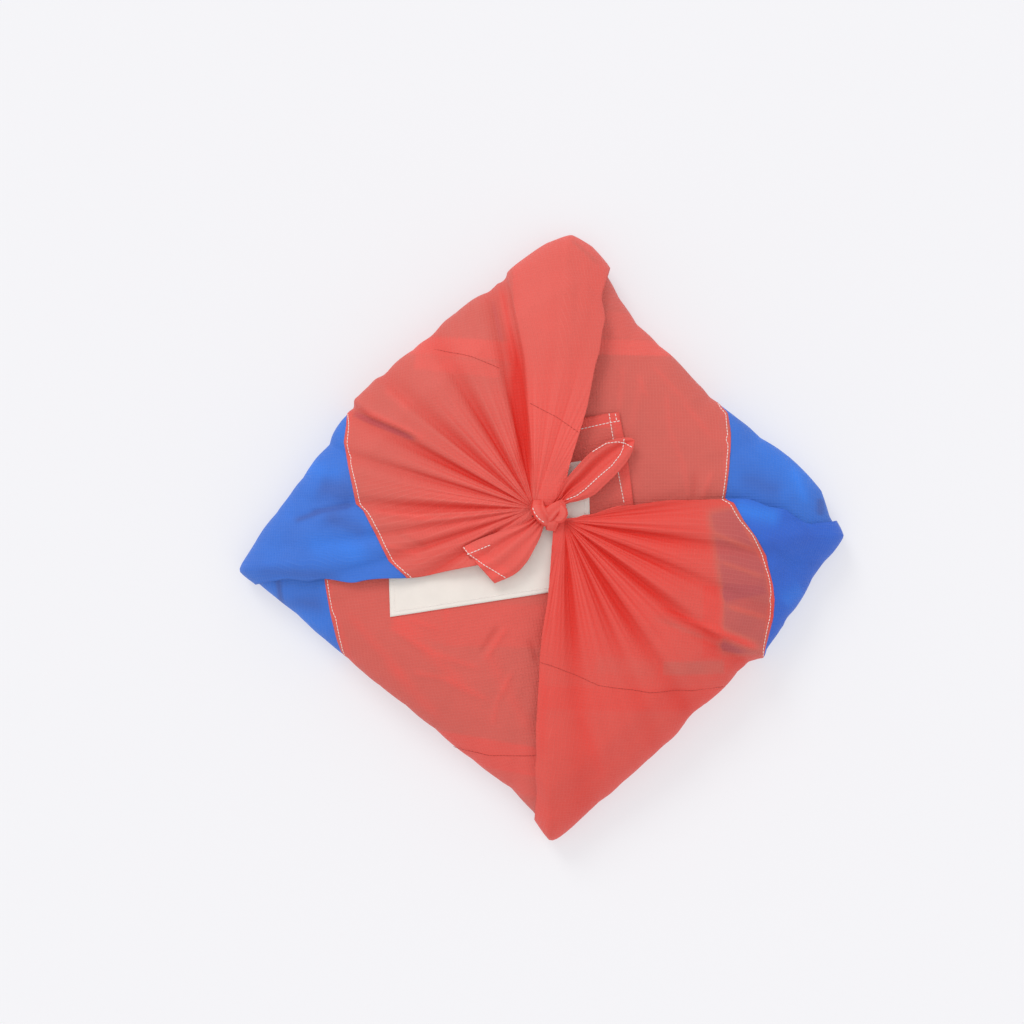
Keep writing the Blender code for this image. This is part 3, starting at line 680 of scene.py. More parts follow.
def gathers(seen, distance):
    """Gathers, −1 to 1: waves round the neck that start near it and fade further out."""
    total = np.zeros(np.shape(seen))
    for period, share in GATHERS:
        total = total + share * np.cos(2.0 * math.pi * seen / period
                                       + 2.1 * np.sin(seen / 7.0 + period))
    faded = smooth_step((distance - GATHERS_FULL) / GATHERS_FADE)
    return total * smooth_step(distance / GATHERS_FULL) * (1.0 - faded)


def fan_lift(fan, x, y):
    """Height of a gathered corner above the body at a plan position."""
    distance, seen = from_neck(fan, x, y)
    valley, small = pleats(fan, seen, distance)
    out = smooth_step((nearness(x, y) - FAN_FALL[0]) / FAN_FALL[1])
    lift = FAN_LIFT_MIDDLE + (FAN_LIFT_RIM - FAN_LIFT_MIDDLE) * out
    lift = lift + NECK_RISE * np.exp(-(distance / NECK_RISE_REACH) ** 2)
    lift = lift + (1.0 - valley) * table(PLEAT_HEIGHTS, distance, 1)
    lift = lift - small * table(FINE_HEIGHTS, distance, 1)
    lift = lift - GATHER_HEIGHT * gathers(seen, distance)
    lift = lift + along_creases(x, y, fan["creases"]) + FAN_SLACK * slack(x, y)
    if fan["overlap"]:
        past = line_side(x, y, fan["overlap"])
        fade = smooth_step((distance - OVERLAP_STARTS) / OVERLAP_GROWS)
        trough = np.exp(-((past + OVERLAP_VALLEY_WIDTH) / OVERLAP_VALLEY_WIDTH) ** 2)
        lift = lift + fade * (OVERLAP_STEP * smooth_step(past / OVERLAP_EDGE + 0.5)
                              - OVERLAP_VALLEY * trough)
    return lift


def place_on(part, x, y, rise):
    """A plan position on the top of a flap or a gathered corner."""
    lift = fan_lift(part, x, y) if "neck" in part else flap_lift(part, x, y)
    return lifted_top(x, y, lift + rise)


def flap_place(flap, number, along, rise):
    """A flap's surface: straight threads, edge·(1 − along) + rim·along, then down a side."""
    number, along = np.broadcast_arrays(number, along)
    first, middle, last = flap["threads"]
    run = along_line(flap["hem"], 0.0)[1]
    to_tip = run[flap["tip"]]
    length = np.where(number <= middle,
                      (number - first) / (middle - first) * to_tip,
                      to_tip + (number - middle) / (last - middle) * (run[-1] - to_tip))
    edge = along_line(flap["hem"], length)[0]
    bearing, rim = rim_point(number)
    share = np.clip(along, 0.0, 1.0)[..., None]
    spot = edge * (1.0 - share) + rim * share
    top = place_on(flap, spot[..., 0], spot[..., 1], rise)
    down = 1.0 - smooth_step(np.clip(along - 1.0, 0.0, 1.0))
    carried = flap_lift(flap, rim[..., 0], rim[..., 1]) - flap["lifts"][1]
    side = lifted_side(bearing, side_turn(bearing, along),
                       flap["lifts"][1] + carried * down + rise)
    return np.where((along < 1.0)[..., None], top, side)


def fan_place(fan, number, along, rise):
    """A gathered corner's surface: threads from the neck to the rim, then down the side."""
    number, along = np.broadcast_arrays(number, along)
    first, last = fan["threads"]
    bearing, rim = rim_point(number)
    middle = np.array(fan["neck"])
    away = rim - middle
    length = np.linalg.norm(away, axis=-1)
    away = away / length[..., None]
    left = np.stack([-away[..., 1], away[..., 0]], axis=-1)
    place = (number - first) / (last - first)
    from_first = 1.0 - smooth_step(place / SWING_SHARE)
    from_last = 1.0 - smooth_step((1.0 - place) / SWING_SHARE)
    share = np.clip(along, NECK_TUCK, 1.0)
    out = NECK_RADIUS + (length - NECK_RADIUS) * share
    bend = table(fan["swing"], share, 1) * from_first + table(fan["swing"], share, 2) * from_last
    spot = middle + away * out[..., None] + left * bend[..., None]
    top = place_on(fan, spot[..., 0], spot[..., 1], rise)
    down = np.clip(along - 1.0, 0.0, 1.0)
    carried = fan_lift(fan, rim[..., 0], rim[..., 1]) - FAN_LIFT_RIM
    side = lifted_side(bearing, side_turn(bearing, along),
                       FAN_LIFT_RIM + carried * (1.0 - smooth_step(down)) + rise)
    return np.where((along < 1.0)[..., None], top, side)


def seam_along(place, panel, numbers):
    """Where each thread meets the seam: the first change to the blue side, or 2 for none."""
    steps = np.linspace(0.0, 2.0, 600)
    spot = place(panel, numbers[None, :], steps[:, None], 0.0)
    blue = panel["blue_side"] * line_side(spot[..., 0], spot[..., 1], panel["seam"])
    first = np.argmax(blue > 0.0, axis=0)
    before = np.maximum(first - 1, 0)
    column = np.arange(len(numbers))
    gap = blue[before, column] - blue[first, column]
    share = np.where(first > 0, blue[before, column] / np.where(gap == 0.0, 1.0, gap), 0.0)
    found = steps[before] + share * (steps[first] - steps[before])
    return np.where((blue > 0.0).any(axis=0), found, 2.0)


def evened(values, count):
    """Values along a line, each the mean of count neighbours, to smooth out small jogs."""
    ends = (np.full(count // 2, values[0]), np.full(count // 2, values[-1]))
    return np.convolve(np.concatenate([ends[0], values, ends[1]]), np.ones(count) / count,
                       mode="valid")


def speed(place, panel, numbers, along):
    """Millimetres of cloth for each unit along the thread."""
    step = 0.01
    ahead = place(panel, numbers, along + step, 0.0) - place(panel, numbers, along - step, 0.0)
    return np.linalg.norm(ahead, axis=-1) / (2.0 * step)


def add_node(tree, kind, settings=None, links=None):
    """One node of a material, with its settings, and its inputs as values or links."""
    node = tree.nodes.new(kind)
    for name, value in (settings or {}).items():
        setattr(node, name, value)
    for name, value in (links or {}).items():
        if isinstance(value, bpy.types.NodeSocket):
            tree.links.new(value, node.inputs[name])
        else:
            node.inputs[name].default_value = value
    return node


def linear(code):
    """An sRGB hex colour as linear red, green, blue and alpha."""
    parts = np.array([int(code[place:place + 2], 16) for place in (0, 2, 4)]) / 255.0
    shade = np.where(parts <= 0.04045, parts / 12.92, ((parts + 0.055) / 1.055) ** 2.4)
    return (*shade.tolist(), 1.0)


def grid_lines(tree, coordinate, pitch, width):
    """Thin lines across a coordinate: 1 on a line, 0 between them."""
    fold_shade_colour = add_node(tree, "ShaderNodeMath", {"operation": "PINGPONG"},
                      {0: coordinate, 1: pitch * MM / 2.0})
    return add_node(tree, "ShaderNodeMapRange", {}, {
        "Value": fold_shade_colour.outputs[0], "From Min": width * MM, "From Max": 0.0,
        "To Min": 0.0, "To Max": 1.0}).outputs[0]


def new_material(name, roughness, shine):
    """A new material with its node tree and shader, and how rough and how shiny it is."""
    result = bpy.data.materials.new(name)
    result.use_nodes = True
    shader = result.node_tree.nodes["Principled BSDF"]
    shader.inputs["Roughness"].default_value = roughness
    shader.inputs["IOR"].default_value = CLOTH_IOR
    shader.inputs["Specular IOR Level"].default_value = shine
    return result, result.node_tree, shader


def ripstop(name, lit, sheer, fold_shade_colour, grid_colour, strip=None):
    """Ripstop nylon: a fine plain weave with a thicker thread every few millimetres.

    The thicker threads show as a faint raised grid. The thin cloth takes on what lies
    under it, so its colour runs between sheer and lit by the tone of the place; the tone
    also carries painted highlights on ridges and painted shade in valleys. Its folds get a
    painted glow and shade, the deep colour of light passing through it more than once.
    A strip gives two places across the weave: the cloth is of the lit colour between
    them, else sheer.
    """
    result, tree, shader = new_material(name, RIPSTOP_ROUGHNESS, RIPSTOP_SHINE)
    uv = add_node(tree, "ShaderNodeUVMap", {"uv_map": "grain"}).outputs[0]
    split = add_node(tree, "ShaderNodeSeparateXYZ", {}, {0: uv})
    tone, fold_shade = [add_node(tree, "ShaderNodeAttribute", {"attribute_name": kind}).outputs["Fac"]
                  for kind in ("tone", "fold_shade")]
    lines = [grid_lines(tree, split.outputs[axis], GRID_PITCH, GRID_THREAD) for axis in (0, 1)]
    grid = add_node(tree, "ShaderNodeMath", {"operation": "MAXIMUM"},
                    {0: lines[0], 1: lines[1]}).outputs[0]
    cloud, crumple = [add_node(tree, "ShaderNodeTexNoise", {}, {
        "Vector": uv, "Scale": 1.0 / (size * MM), "Detail": detail, "Roughness": 0.6}).outputs[0]
                      for size, detail in ((CLOUD_SIZE, 3.0), (CRUMPLE_SIZE, 4.0))]
    stretched = add_node(tree, "ShaderNodeMapping", {}, {
        "Vector": uv, "Rotation": (0.0, 0.0, WRINKLE_TURN),
        "Scale": (1.0 / (WRINKLE_LENGTH * MM), 1.0 / (WRINKLE_WIDTH * MM), 1.0)}).outputs[0]
    wrinkle = add_node(tree, "ShaderNodeTexNoise", {"noise_type": "RIDGED_MULTIFRACTAL"}, {
        "Vector": stretched, "Scale": 1.0, "Detail": 2.0, "Roughness": 0.5}).outputs[0]
    # Changes of tone by uneven dye and handling, and painted sheen: lighter crests of the long
    # wrinkles
    clouded, crest_sheen = [add_node(tree, "ShaderNodeMapRange", {}, {
        "Value": value, "From Min": low, "From Max": high, "To Min": least,
        "To Max": most}).outputs[0]
                      for value, (low, high, least, most) in (
                          (cloud, CLOUD_TONES), (wrinkle, CREST_SHEEN_TONES))]
    uneven_and_sheen = add_node(tree, "ShaderNodeMath", {"operation": "ADD"}, {0: clouded, 1: crest_sheen})
    place = add_node(tree, "ShaderNodeMath", {"operation": "ADD", "use_clamp": True},
                     {0: tone, 1: uneven_and_sheen.outputs[0]})
    if strip:
        sides = [add_node(tree, "ShaderNodeMath", {"operation": kind},
                          {0: split.outputs[1], 1: edge * MM})
                 for kind, edge in (("GREATER_THAN", strip[0]), ("LESS_THAN", strip[1]))]
        place = add_node(tree, "ShaderNodeMath", {"operation": "MULTIPLY"},
                         {0: sides[0].outputs[0], 1: sides[1].outputs[0]})
    # Below no tone, the sheer cloth lies on cloth of the other colour
    dusk = add_node(tree, "ShaderNodeMapRange", {}, {
        "Value": tone, "From Min": 0.0, "From Max": DUSK_TONE})
    # The grid is fainter in folds
    in_fold = add_node(tree, "ShaderNodeMapRange", {}, {
        "Value": fold_shade, "To Min": GRID_SHOWS[0], "To Max": GRID_SHOWS[1]})
    faint = add_node(tree, "ShaderNodeMath", {"operation": "MULTIPLY"},
                     {0: grid, 1: in_fold.outputs[0]})
    # Mixed over the sheer colour: lit tone, red over blue, painted fold shade and glow, then the
    # grid
    colour = linear(sheer)
    for share, code in ((place.outputs[0], lit), (dusk.outputs[0], RED_OVER_BLUE),
                        (fold_shade, fold_shade_colour), (faint.outputs[0], grid_colour)):
        colour = add_node(tree, "ShaderNodeMix", {"data_type": "RGBA"}, {
            "Factor": share, 6: colour, 7: linear(code)}).outputs[2]
    tree.links.new(colour, shader.inputs["Base Color"])
    height = grid
    for texture, share in ((crumple, CRUMPLE_HEIGHT), (wrinkle, WRINKLE_HEIGHT)):
        height = add_node(tree, "ShaderNodeMath", {"operation": "MULTIPLY_ADD"},
                          {0: texture, 1: share, 2: height}).outputs[0]
    bump = add_node(tree, "ShaderNodeBump", {}, {
        "Strength": 0.7, "Distance": GRID_HEIGHT * MM, "Height": height})
    tree.links.new(bump.outputs[0], shader.inputs["Normal"])
    return result


def cotton(name, colour, count):
    """Cotton: a plain weave, count threads to the centimetre, matt and a little uneven."""
    result, tree, shader = new_material(name, COTTON_ROUGHNESS, COTTON_SHINE)
    where = add_node(tree, "ShaderNodeTexCoord").outputs["Object"]
    pitch = 10.0 / count
    split = add_node(tree, "ShaderNodeSeparateXYZ", {}, {0: where})
    lines = [grid_lines(tree, split.outputs[axis], pitch, pitch / 2.0) for axis in (0, 1)]
    weave = add_node(tree, "ShaderNodeMath", {"operation": "MULTIPLY"},
                     {0: lines[0], 1: lines[1]})
    cloud = add_node(tree, "ShaderNodeTexNoise", {}, {
        "Vector": where, "Scale": 1.0 / (COTTON_CLOUD_SIZE * MM), "Detail": 3.0})
    paler = add_node(tree, "ShaderNodeMapRange", {}, {
        "Value": cloud.outputs[0], "From Min": 0.3, "From Max": 0.7,
        "To Min": 0.96, "To Max": 1.0})
    base = add_node(tree, "ShaderNodeMix", {"data_type": "RGBA", "blend_type": "MULTIPLY"}, {
        "Factor": 1.0, 6: linear(colour), 7: paler.outputs[0]})
    tree.links.new(base.outputs[2], shader.inputs["Base Color"])
    bump = add_node(tree, "ShaderNodeBump", {}, {
        "Strength": 0.4, "Distance": COTTON_HEIGHT * MM, "Height": weave.outputs[0]})
    tree.links.new(bump.outputs[0], shader.inputs["Normal"])
    return result


def add_mesh(name, points, faces, material, uv=None, tone=None, fold_shade=None):
    """A named, smooth mesh object from points in mm and faces, with its weave and tones."""
    mesh = bpy.data.meshes.new(name)
    faces = [list(face) for face in faces]
    mesh.from_pydata((np.asarray(points) * MM).tolist(), [], faces)
    if uv is not None:
        corners = np.concatenate([np.array(face) for face in faces])
        layer = mesh.uv_layers.new(name="grain")
        layer.data.foreach_set("uv", (uv[corners] * MM).ravel())
    for kind, values in (("tone", tone), ("fold_shade", fold_shade)):
        if values is not None:
            layer = mesh.attributes.new(kind, "FLOAT", "POINT")
            layer.data.foreach_set("value", np.asarray(values, dtype=np.float32))
    mesh.polygons.foreach_set("use_smooth", np.ones(len(mesh.polygons), dtype=bool))
    mesh.materials.append(material)
    mesh.update()
    result = bpy.data.objects.new(name, mesh)
    bpy.context.scene.collection.objects.link(result)
    return result


def grid_quads(rows, columns):
    """Faces of a grid of points, closed round its columns."""
    index = np.arange(rows * columns).reshape(rows, columns)
    after = np.roll(index, -1, axis=1)
    return np.stack([index[:-1], after[:-1], after[1:], index[1:]], axis=-1).reshape(-1, 4)


def cloth(name, grid, uv, tone, fold_shade, material, thickness=CLOTH_THICKNESS, keep=None):
    """A sheet of cloth from a grid of points, its upper face on the grid.

    keep gives the first and last row of each column: the rows before and after them lie on
    those two, and are joined to them.
    """
    rows, columns = grid.shape[:2]
    index = np.arange(rows * columns).reshape(rows, columns)
    if keep is not None:
        index = (np.clip(np.arange(rows)[:, None], keep[0], keep[1]) * columns
                 + np.arange(columns)[None, :])
    quads = np.stack([index[:-1, :-1], index[:-1, 1:], index[1:, 1:], index[1:, :-1]],
                     axis=-1).reshape(-1, 4)
    middle = grid[rows // 2, columns // 2]
    across = grid[rows // 2, columns // 2 + 1] - middle
    down = grid[rows // 2 + 1, columns // 2] - middle
    near = quads[:, 0] == quads[:, 3]
    far = quads[:, 1] == quads[:, 2]
    faces = [quads[~near & ~far], quads[near & ~far][:, :3], quads[far & ~near][:, [0, 1, 3]]]
    if np.cross(across, down)[2] < 0.0:
        faces = [group[:, ::-1] for group in faces]
    used, place = np.unique(np.concatenate([group.ravel() for group in faces]),
                            return_inverse=True)
    sizes = [group.size for group in faces]
    renamed = [part_.reshape(group.shape) for part_, group in
               zip(np.split(place, np.cumsum(sizes)[:-1]), faces)]
    corners = renamed[0].tolist() + renamed[1].tolist() + renamed[2].tolist()
    result = add_mesh(name, grid.reshape(-1, 3)[used], corners, material,
                      uv.reshape(-1, 2)[used], tone.reshape(-1)[used], fold_shade.reshape(-1)[used])
    solid = result.modifiers.new("thickness", "SOLIDIFY")
    solid.thickness = thickness * MM
    solid.offset = -1.0
    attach(result, "root")
    return result


def laid_flat(grid, way, turn):
    """Where the cloth's points lie in its own weave: unrolled down each thread, then turned.

    flat = start of the thread + its way in plan · length run along it.
    """
    steps = np.linalg.norm(np.diff(grid, axis=0), axis=-1)
    run = np.concatenate([np.zeros((1, grid.shape[1])), np.cumsum(steps, axis=0)])
    away = way / np.linalg.norm(way, axis=-1, keepdims=True)
    flat = grid[0, :, :2] + away * run[..., None]
    angle = math.radians(turn)
    return np.stack([flat[..., 0] * math.cos(angle) + flat[..., 1] * math.sin(angle),
                     flat[..., 1] * math.cos(angle) - flat[..., 0] * math.sin(angle)], axis=-1)


def panel(name, node, place, part, numbers, start, stop, rows, rise, tones, material, slot):
    """One panel of the cloth: its threads between two ends, on rows that all panels share."""
    index = np.arange(len(rows))[:, None]
    first = np.max(np.where(rows[:, None] <= start[None, :], index, 0), axis=0)
    last = np.min(np.where(rows[:, None] >= stop[None, :], index, len(rows) - 1), axis=0)
    along = np.clip(rows[:, None], start[None, :], stop[None, :])
    grid = place(part, numbers[None, :], along, rise)
    tone, fold_shade = tones(part, grid)
    way = (place(part, numbers, 0.999, 0.0) - place(part, numbers, 0.0, 0.0))[:, :2]
    result = cloth(name, grid, laid_flat(grid, way, part["grain"]), tone, fold_shade, material,
                   keep=(first, last))
    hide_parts(node)
    return result


def stitches(name, path, normals, material, width=STITCH_WIDTH, share=STITCH_SHARE,
             slot="cream_tape"):
    """A row of stitches: small rounded grains laid end to end along a path."""
    path = np.asarray(path)
    run = along_line(path, 0.0)[1]
    count = max(int(run[-1] / STITCH_PITCH), 1)
    at = (np.arange(count) + 0.5) * run[-1] / count
    middle = along_line(path, at)[0]
    ahead = along_line(path, at + 0.6)[0] - along_line(path, at - 0.6)[0]
    ahead /= np.linalg.norm(ahead, axis=-1, keepdims=True)
    up = np.stack([np.interp(at, run, normals[:, axis]) for axis in range(3)], axis=-1)
    side = np.cross(up, ahead)
    side /= np.linalg.norm(side, axis=-1, keepdims=True)
    up = np.cross(ahead, side)
    angle = np.linspace(0.0, 2.0 * math.pi, STITCH_CORNERS, endpoint=False)
    ring, radius = np.array(STITCH_FORM).T[:, :, None]
    shape = np.stack([np.repeat(ring, STITCH_CORNERS, axis=1) * STITCH_PITCH * share / 2.0,
                      radius * np.cos(angle) * width / 2.0,
                      radius * np.sin(angle) * width / 2.0 + STITCH_RISE], axis=-1)
    points = sum(shape[None, ..., axis:axis + 1] * way[:, None, None, :]
                 for axis, way in enumerate((ahead, side, up))) + middle[:, None, None, :]
    rings = len(STITCH_FORM)
    one = grid_quads(rings, STITCH_CORNERS)
    first = rings * STITCH_CORNERS * np.arange(count)[:, None, None]
    result = add_mesh(name, points.reshape(-1, 3), (one[None, :, :] + first).reshape(-1, 4),
                      material)
    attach(result, "root")
    return result


def plan_path(points, step=1.5):
    """Evenly spaced plan positions along a line of points."""
    run = along_line(points, 0.0)[1]
    return along_line(points, np.linspace(0.0, run[-1], max(int(run[-1] / step), 4)))[0]


def stitches_on(name, part, plan, rise, material, **sizes):
    """A row of stitches at plan positions on the top of a flap or a gathered corner."""
    path, above = [place_on(part, plan[:, 0], plan[:, 1], rise + up) for up in (0.0, 1.0)]
    return stitches(name, path, above - path, material, **sizes)


def both_panels(place, part, count, low, mats):
    """A flap or gathered corner as its red and blue panels, the red lapped over the blue."""
    name = part["name"]
    first, last = part["threads"][0], part["threads"][-1]
    way = np.sign(last - first)
    fine = np.linspace(first, last, SEAM_STEPS)
    meets = seam_along(place, part, fine)
    red_on = fine[meets > 0.01]
    blue_on = fine[meets < 1.999]
    limit = blue_on[-1]
    rows = np.concatenate([np.linspace(low, 1.0, ROWS_ON_TOP)[:-1],
                           np.linspace(1.0, 2.0, ROWS_ON_SIDE)])
    numbers = np.concatenate([np.linspace(first, last, count),
                              [limit - 0.02 * way, limit + 0.02 * way]])
    numbers = np.unique(numbers)[::int(way)]
    numbers = np.concatenate([[red_on[0]], numbers[(numbers - red_on[0]) * way > 0.0]])
    stop = seam_along(place, part, numbers)
    red = panel(name + "_red_panel", name + "_red", place, part, numbers,
                np.full(len(numbers), low), stop, rows, RED_RISE, red_tones, mats[0],
                "red_ripstop")
    # The seam's stitching, inside the red edge
    here = fine[(meets > 0.03) & (meets < 1.999)]
    met = seam_along(place, part, here)
    inset = SEAM_STITCH_INSET / speed(place, part, here, met)
    sewn_at = evened(met - inset, SEAM_EVEN)
    path, above = [place(part, here, sewn_at, RED_RISE + up) for up in (0.0, 1.0)]
    sewn = stitches(name + "_seam_stitches", path, above - path, mats[2])
    # The blue panel, its edge under the red one
    count = max(int(count * len(blue_on) / SEAM_STEPS), 12)
    numbers = np.linspace(blue_on[0], limit, count)
    begin = np.minimum(seam_along(place, part, numbers), 1.999)
    begin = np.maximum(begin - SEAM_LAP / speed(place, part, numbers, begin), 0.0)
    blue = panel(name + "_blue_panel", name + "_blue", place, part, numbers, begin,
                 np.full(len(numbers), 2.0), rows, BLUE_RISE, blue_tones, mats[1],
                 "blue_ripstop")
    return red, blue, sewn


def red_tones(part, grid):
    """Tone of the red cloth, from dusk through sheer, 0, to lit, 1, with painted highlight and
    shade, and its painted fold shade and glow.
    """
    x, y = grid[..., 0], grid[..., 1]
    tone = np.full(x.shape, part["tone"])
    for x1, y1, x2, y2, width, soft, amount in part["bands"]:
        run_x, run_y = x2 - x1, y2 - y1
        length = math.hypot(run_x, run_y)
        along = ((x - x1) * run_x + (y - y1) * run_y) / length
        across = np.abs((x - x1) * run_y - (y - y1) * run_x) / length
        inside = (smooth_step((width - across) / soft + 0.5)
                  * smooth_step(along / soft + 0.5) * smooth_step((length - along) / soft + 0.5))
        tone = tone + amount * inside
    # Painted highlight on crease ridges, painted shade and glow in crease valleys
    crease = along_creases(x, y, part["creases"])
    tone = tone + CREASE_LIGHT * crease
    fold_shade = CREASE_GLOW * np.maximum(-crease, 0.0)
    if "neck" in part:
        distance, seen = from_neck(part, x, y)
        valley, small = pleats(part, seen, distance)
        # Near the neck, pleat ridges are lighter, partly for the gathered layers and partly as
        # painted highlight; painted fold shade and glow fill the valleys, small pleats and
        # gathers
        near = 1.0 - smooth_step((distance - PLEAT_GLOW_NEAR) / PLEAT_GLOW_FADE)
        tone = tone + PLEAT_LIGHT * near * (1.0 - valley)
        fold_shade = ((valley ** VALLEY_POWER + SMALL_GLOW * small)
                * (FAR_GLOW + (1.0 - FAR_GLOW) * near) + GATHER_GLOW * gathers(seen, distance))
        if part["overlap"]:
            # Painted shade and glow in the valley beside the overlap's edge; the layer over it
            # gets a lighter tone
            past = line_side(x, y, part["overlap"])
            start, whole, fades, gone = OVERLAP_GLOW_REACH
            reach = (smooth_step((distance - start) / (whole - start))
                     * smooth_step((gone - distance) / (gone - fades)))
            fold_shade = fold_shade + OVERLAP_GLOW * reach * np.exp(
                -((past + OVERLAP_GLOW_PLACE) / OVERLAP_GLOW_WIDTH) ** 2)
            tone = np.where(past > 0.0, tone + OVERLAP_LIGHT, tone)
    tone = np.clip(tone, DUSK_TONE, 1.0)
    # Painted glow of the lit cloth, by its part's glow
    return tone, np.clip(fold_shade + part["glow"] * tone, 0.0, 1.0)


def blue_tones(part, grid):
    """Tone of the blue cloth, lighter and darker by its bands, painted shade where they follow
    crease valleys, and its painted fold glow, less where the bands lighten it.
    """
    bands = BLUE_BAND_SHARE * along_creases(grid[..., 0], grid[..., 1], part["blue_bands"])
    fold_shade = part["blue_glow"] * (1.0 - np.clip(2.0 * bands, 0.0, 1.0))
    return np.clip(BLUE_TONE + bands, 0.0, 1.0), fold_shade


def wrapped_bundle(material, thread):
    """The filled middle of the cloth: crown, drawn-in sides and a flat foot.

    Its middle strip is blue, with a red strip sewn to each side of it.
    """
    numbers = np.linspace(0.0, THREADS, BODY_COLUMNS, endpoint=False)
    bearing = thread_bearing(numbers)
    turn = np.concatenate([np.linspace(*turns) for turns in BODY_TURNS])[:, None]
    sink = BODY_SINK * (1.0 - smooth_step((turn - BODY_SINK_END[0]) / BODY_SINK_END[1]))
    grid = lifted_side(bearing[None, :], turn, -sink * np.ones((1, len(numbers))))
    grid[-1, :, 2] = 0.0
    grid = np.concatenate([grid, grid[-1:] * np.array(FOOT_SHARES)[:, None, None]])
    quads = grid_quads(grid.shape[0], grid.shape[1])
    angle = math.radians(MIDDLE_TURN)
    cos, sin = math.cos(angle), math.sin(angle)
    flat = np.stack([grid[..., 0] * cos + grid[..., 1] * sin,
                     grid[..., 1] * cos - grid[..., 0] * sin], axis=-1)
    count = grid.shape[0] * grid.shape[1]
    result = add_mesh("wrapped_bundle", grid.reshape(-1, 3), quads[:, ::-1], material,
                      flat.reshape(-1, 2), np.full(count, BODY_TONE), np.zeros(count))
    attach(result, "root")
    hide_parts("bundle_body")
    for number, line in enumerate((MIDDLE_STRIP[0] - SEAM_STITCH_INSET,
                                   MIDDLE_STRIP[1] + SEAM_STITCH_INSET)):
        run = np.arange(-THREADS, THREADS + 1) * GRID_PITCH
        x, y = run * cos - line * sin, run * sin + line * cos
        inside = np.hypot(x, y) < section(bearing_of(x, y))[0] - BASE_INSET - GRID_PITCH
        path = np.column_stack([x, y, np.full(len(x), UNDER_STITCH)])[inside]
        stitches("bundle_stitches_%d" % (number + 1), path,
                 np.tile([0.0, 0.0, -1.0], (len(path), 1)), thread)


def label_tape(tape, thread):
    """The sewn label: cotton tape with turned-under edges, left bare."""
    corners = np.array(LABEL_CORNERS)
    across = np.linspace(0.0, 1.0, LABEL_COLUMNS)[None, :, None]
    up = np.linspace(0.0, 1.0, LABEL_ROWS)[:, None, None]

    def spot(across, up):
        near = corners[0] * (1.0 - across) + corners[1] * across
        far = corners[3] * (1.0 - across) + corners[2] * across
        return near * (1.0 - up) + far * up

    plan = spot(across, up)
    rise = flap_lift(FRONT_FLAP, plan[..., 0], plan[..., 1]) + LABEL_RISE
    grid = lifted_top(plan[..., 0], plan[..., 1], rise)
    piece = cloth("bare_label", grid, plan, np.zeros_like(rise), np.zeros_like(rise), tape,
                  TAPE_THICKNESS)
    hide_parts("label")
    run = np.linspace(0.0, 1.0, LABEL_ROWS)
    inset_x = LABEL_STITCH_INSET / LABEL_WIDTH
    inset_y = LABEL_STITCH_INSET / LABEL_DEPTH
    low, high = inset_x + run * (1.0 - 2.0 * inset_x), inset_y + run * (1.0 - 2.0 * inset_y)
    sides = ((low, low * 0.0 + inset_y), (low * 0.0 + 1.0 - inset_x, high),
             (low[::-1], low * 0.0 + 1.0 - inset_y), (low * 0.0 + inset_x, high[::-1]))
    return piece, [stitches_on("label_stitches_%d" % (number + 1), FRONT_FLAP,
                               spot(across[:, None], up[:, None]), LABEL_RISE, thread)
                   for number, (across, up) in enumerate(sides)]


def tail(part, material, thread):
    """A free end of the cloth: a leaf whose two side edges are joined by folds along it."""
    share = np.linspace(0.0, 1.0, TAIL_ROWS)[:, None]
    values = smooth_line(part["edges"], share[:, 0])
    left_x, left_y, right_x, right_y, high = values.T[:, :, None]
    across = np.linspace(0.0, 1.0, TAIL_COLUMNS)[None, :]
    spot_x = left_x * (1.0 - across) + right_x * across
    spot_y = left_y * (1.0 - across) + right_y * across
    width = np.hypot(right_x - left_x, right_y - left_y)
    gathered = (TAIL_GATHER_HEIGHT * np.cos(2.0 * math.pi * TAIL_GATHERS * across)
                * (1.0 - smooth_step(share / TAIL_GATHER_END)))
    curl = TAIL_CURL * np.sin(math.pi * 2.2 * share + 3.0 * across) * smooth_step(share / 0.3)
    lift = high + width * table(part["across"], across, 1) + gathered + curl
    grid = lifted_top(spot_x, spot_y, lift)
    grid[..., 2] += TAIL_RISE
    # Painted fold shade in the tail's valleys and near the knot, and a painted glow all over
    fold_shade = table(part["across"], across, 2) * (1.0 - 0.6 * smooth_step(share / 0.9))
    fold_shade = np.clip(fold_shade + 0.25 * (1.0 - smooth_step(share / 0.35)) * (1.0 - gathered), 0.0, 1.0)
    fold_shade = np.clip(fold_shade + TAIL_GLOW, 0.0, 1.0)
    tone = TAIL_TONE + (1.0 - TAIL_TONE) * smooth_step((share - TIP_SHARE) / 0.06)
    tone = np.broadcast_to(tone, fold_shade.shape)
    node = part["name"]
    name = node + "_end"
    piece = cloth(name, grid, grid[..., :2], tone, fold_shade, material, TAIL_THICKNESS)
    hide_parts(node)
    sewn = []
    for number, line in enumerate(part["stitches"]):
        plan = plan_path(line)
        gap = np.hypot(grid[..., 0].ravel()[None, :] - plan[:, :1],
                       grid[..., 1].ravel()[None, :] - plan[:, 1:])
        height = grid[..., 2].ravel()[np.argmin(gap, axis=1)]
        path = np.column_stack([plan, height + TAIL_STITCH_RISE])[np.min(gap, axis=1) < 1.5]
        sewn.append(stitches("%s_stitches_%d" % (name, number + 1), path,
                             np.tile([0.0, 0.0, 1.0], (len(path), 1)), thread))
    return piece, sewn


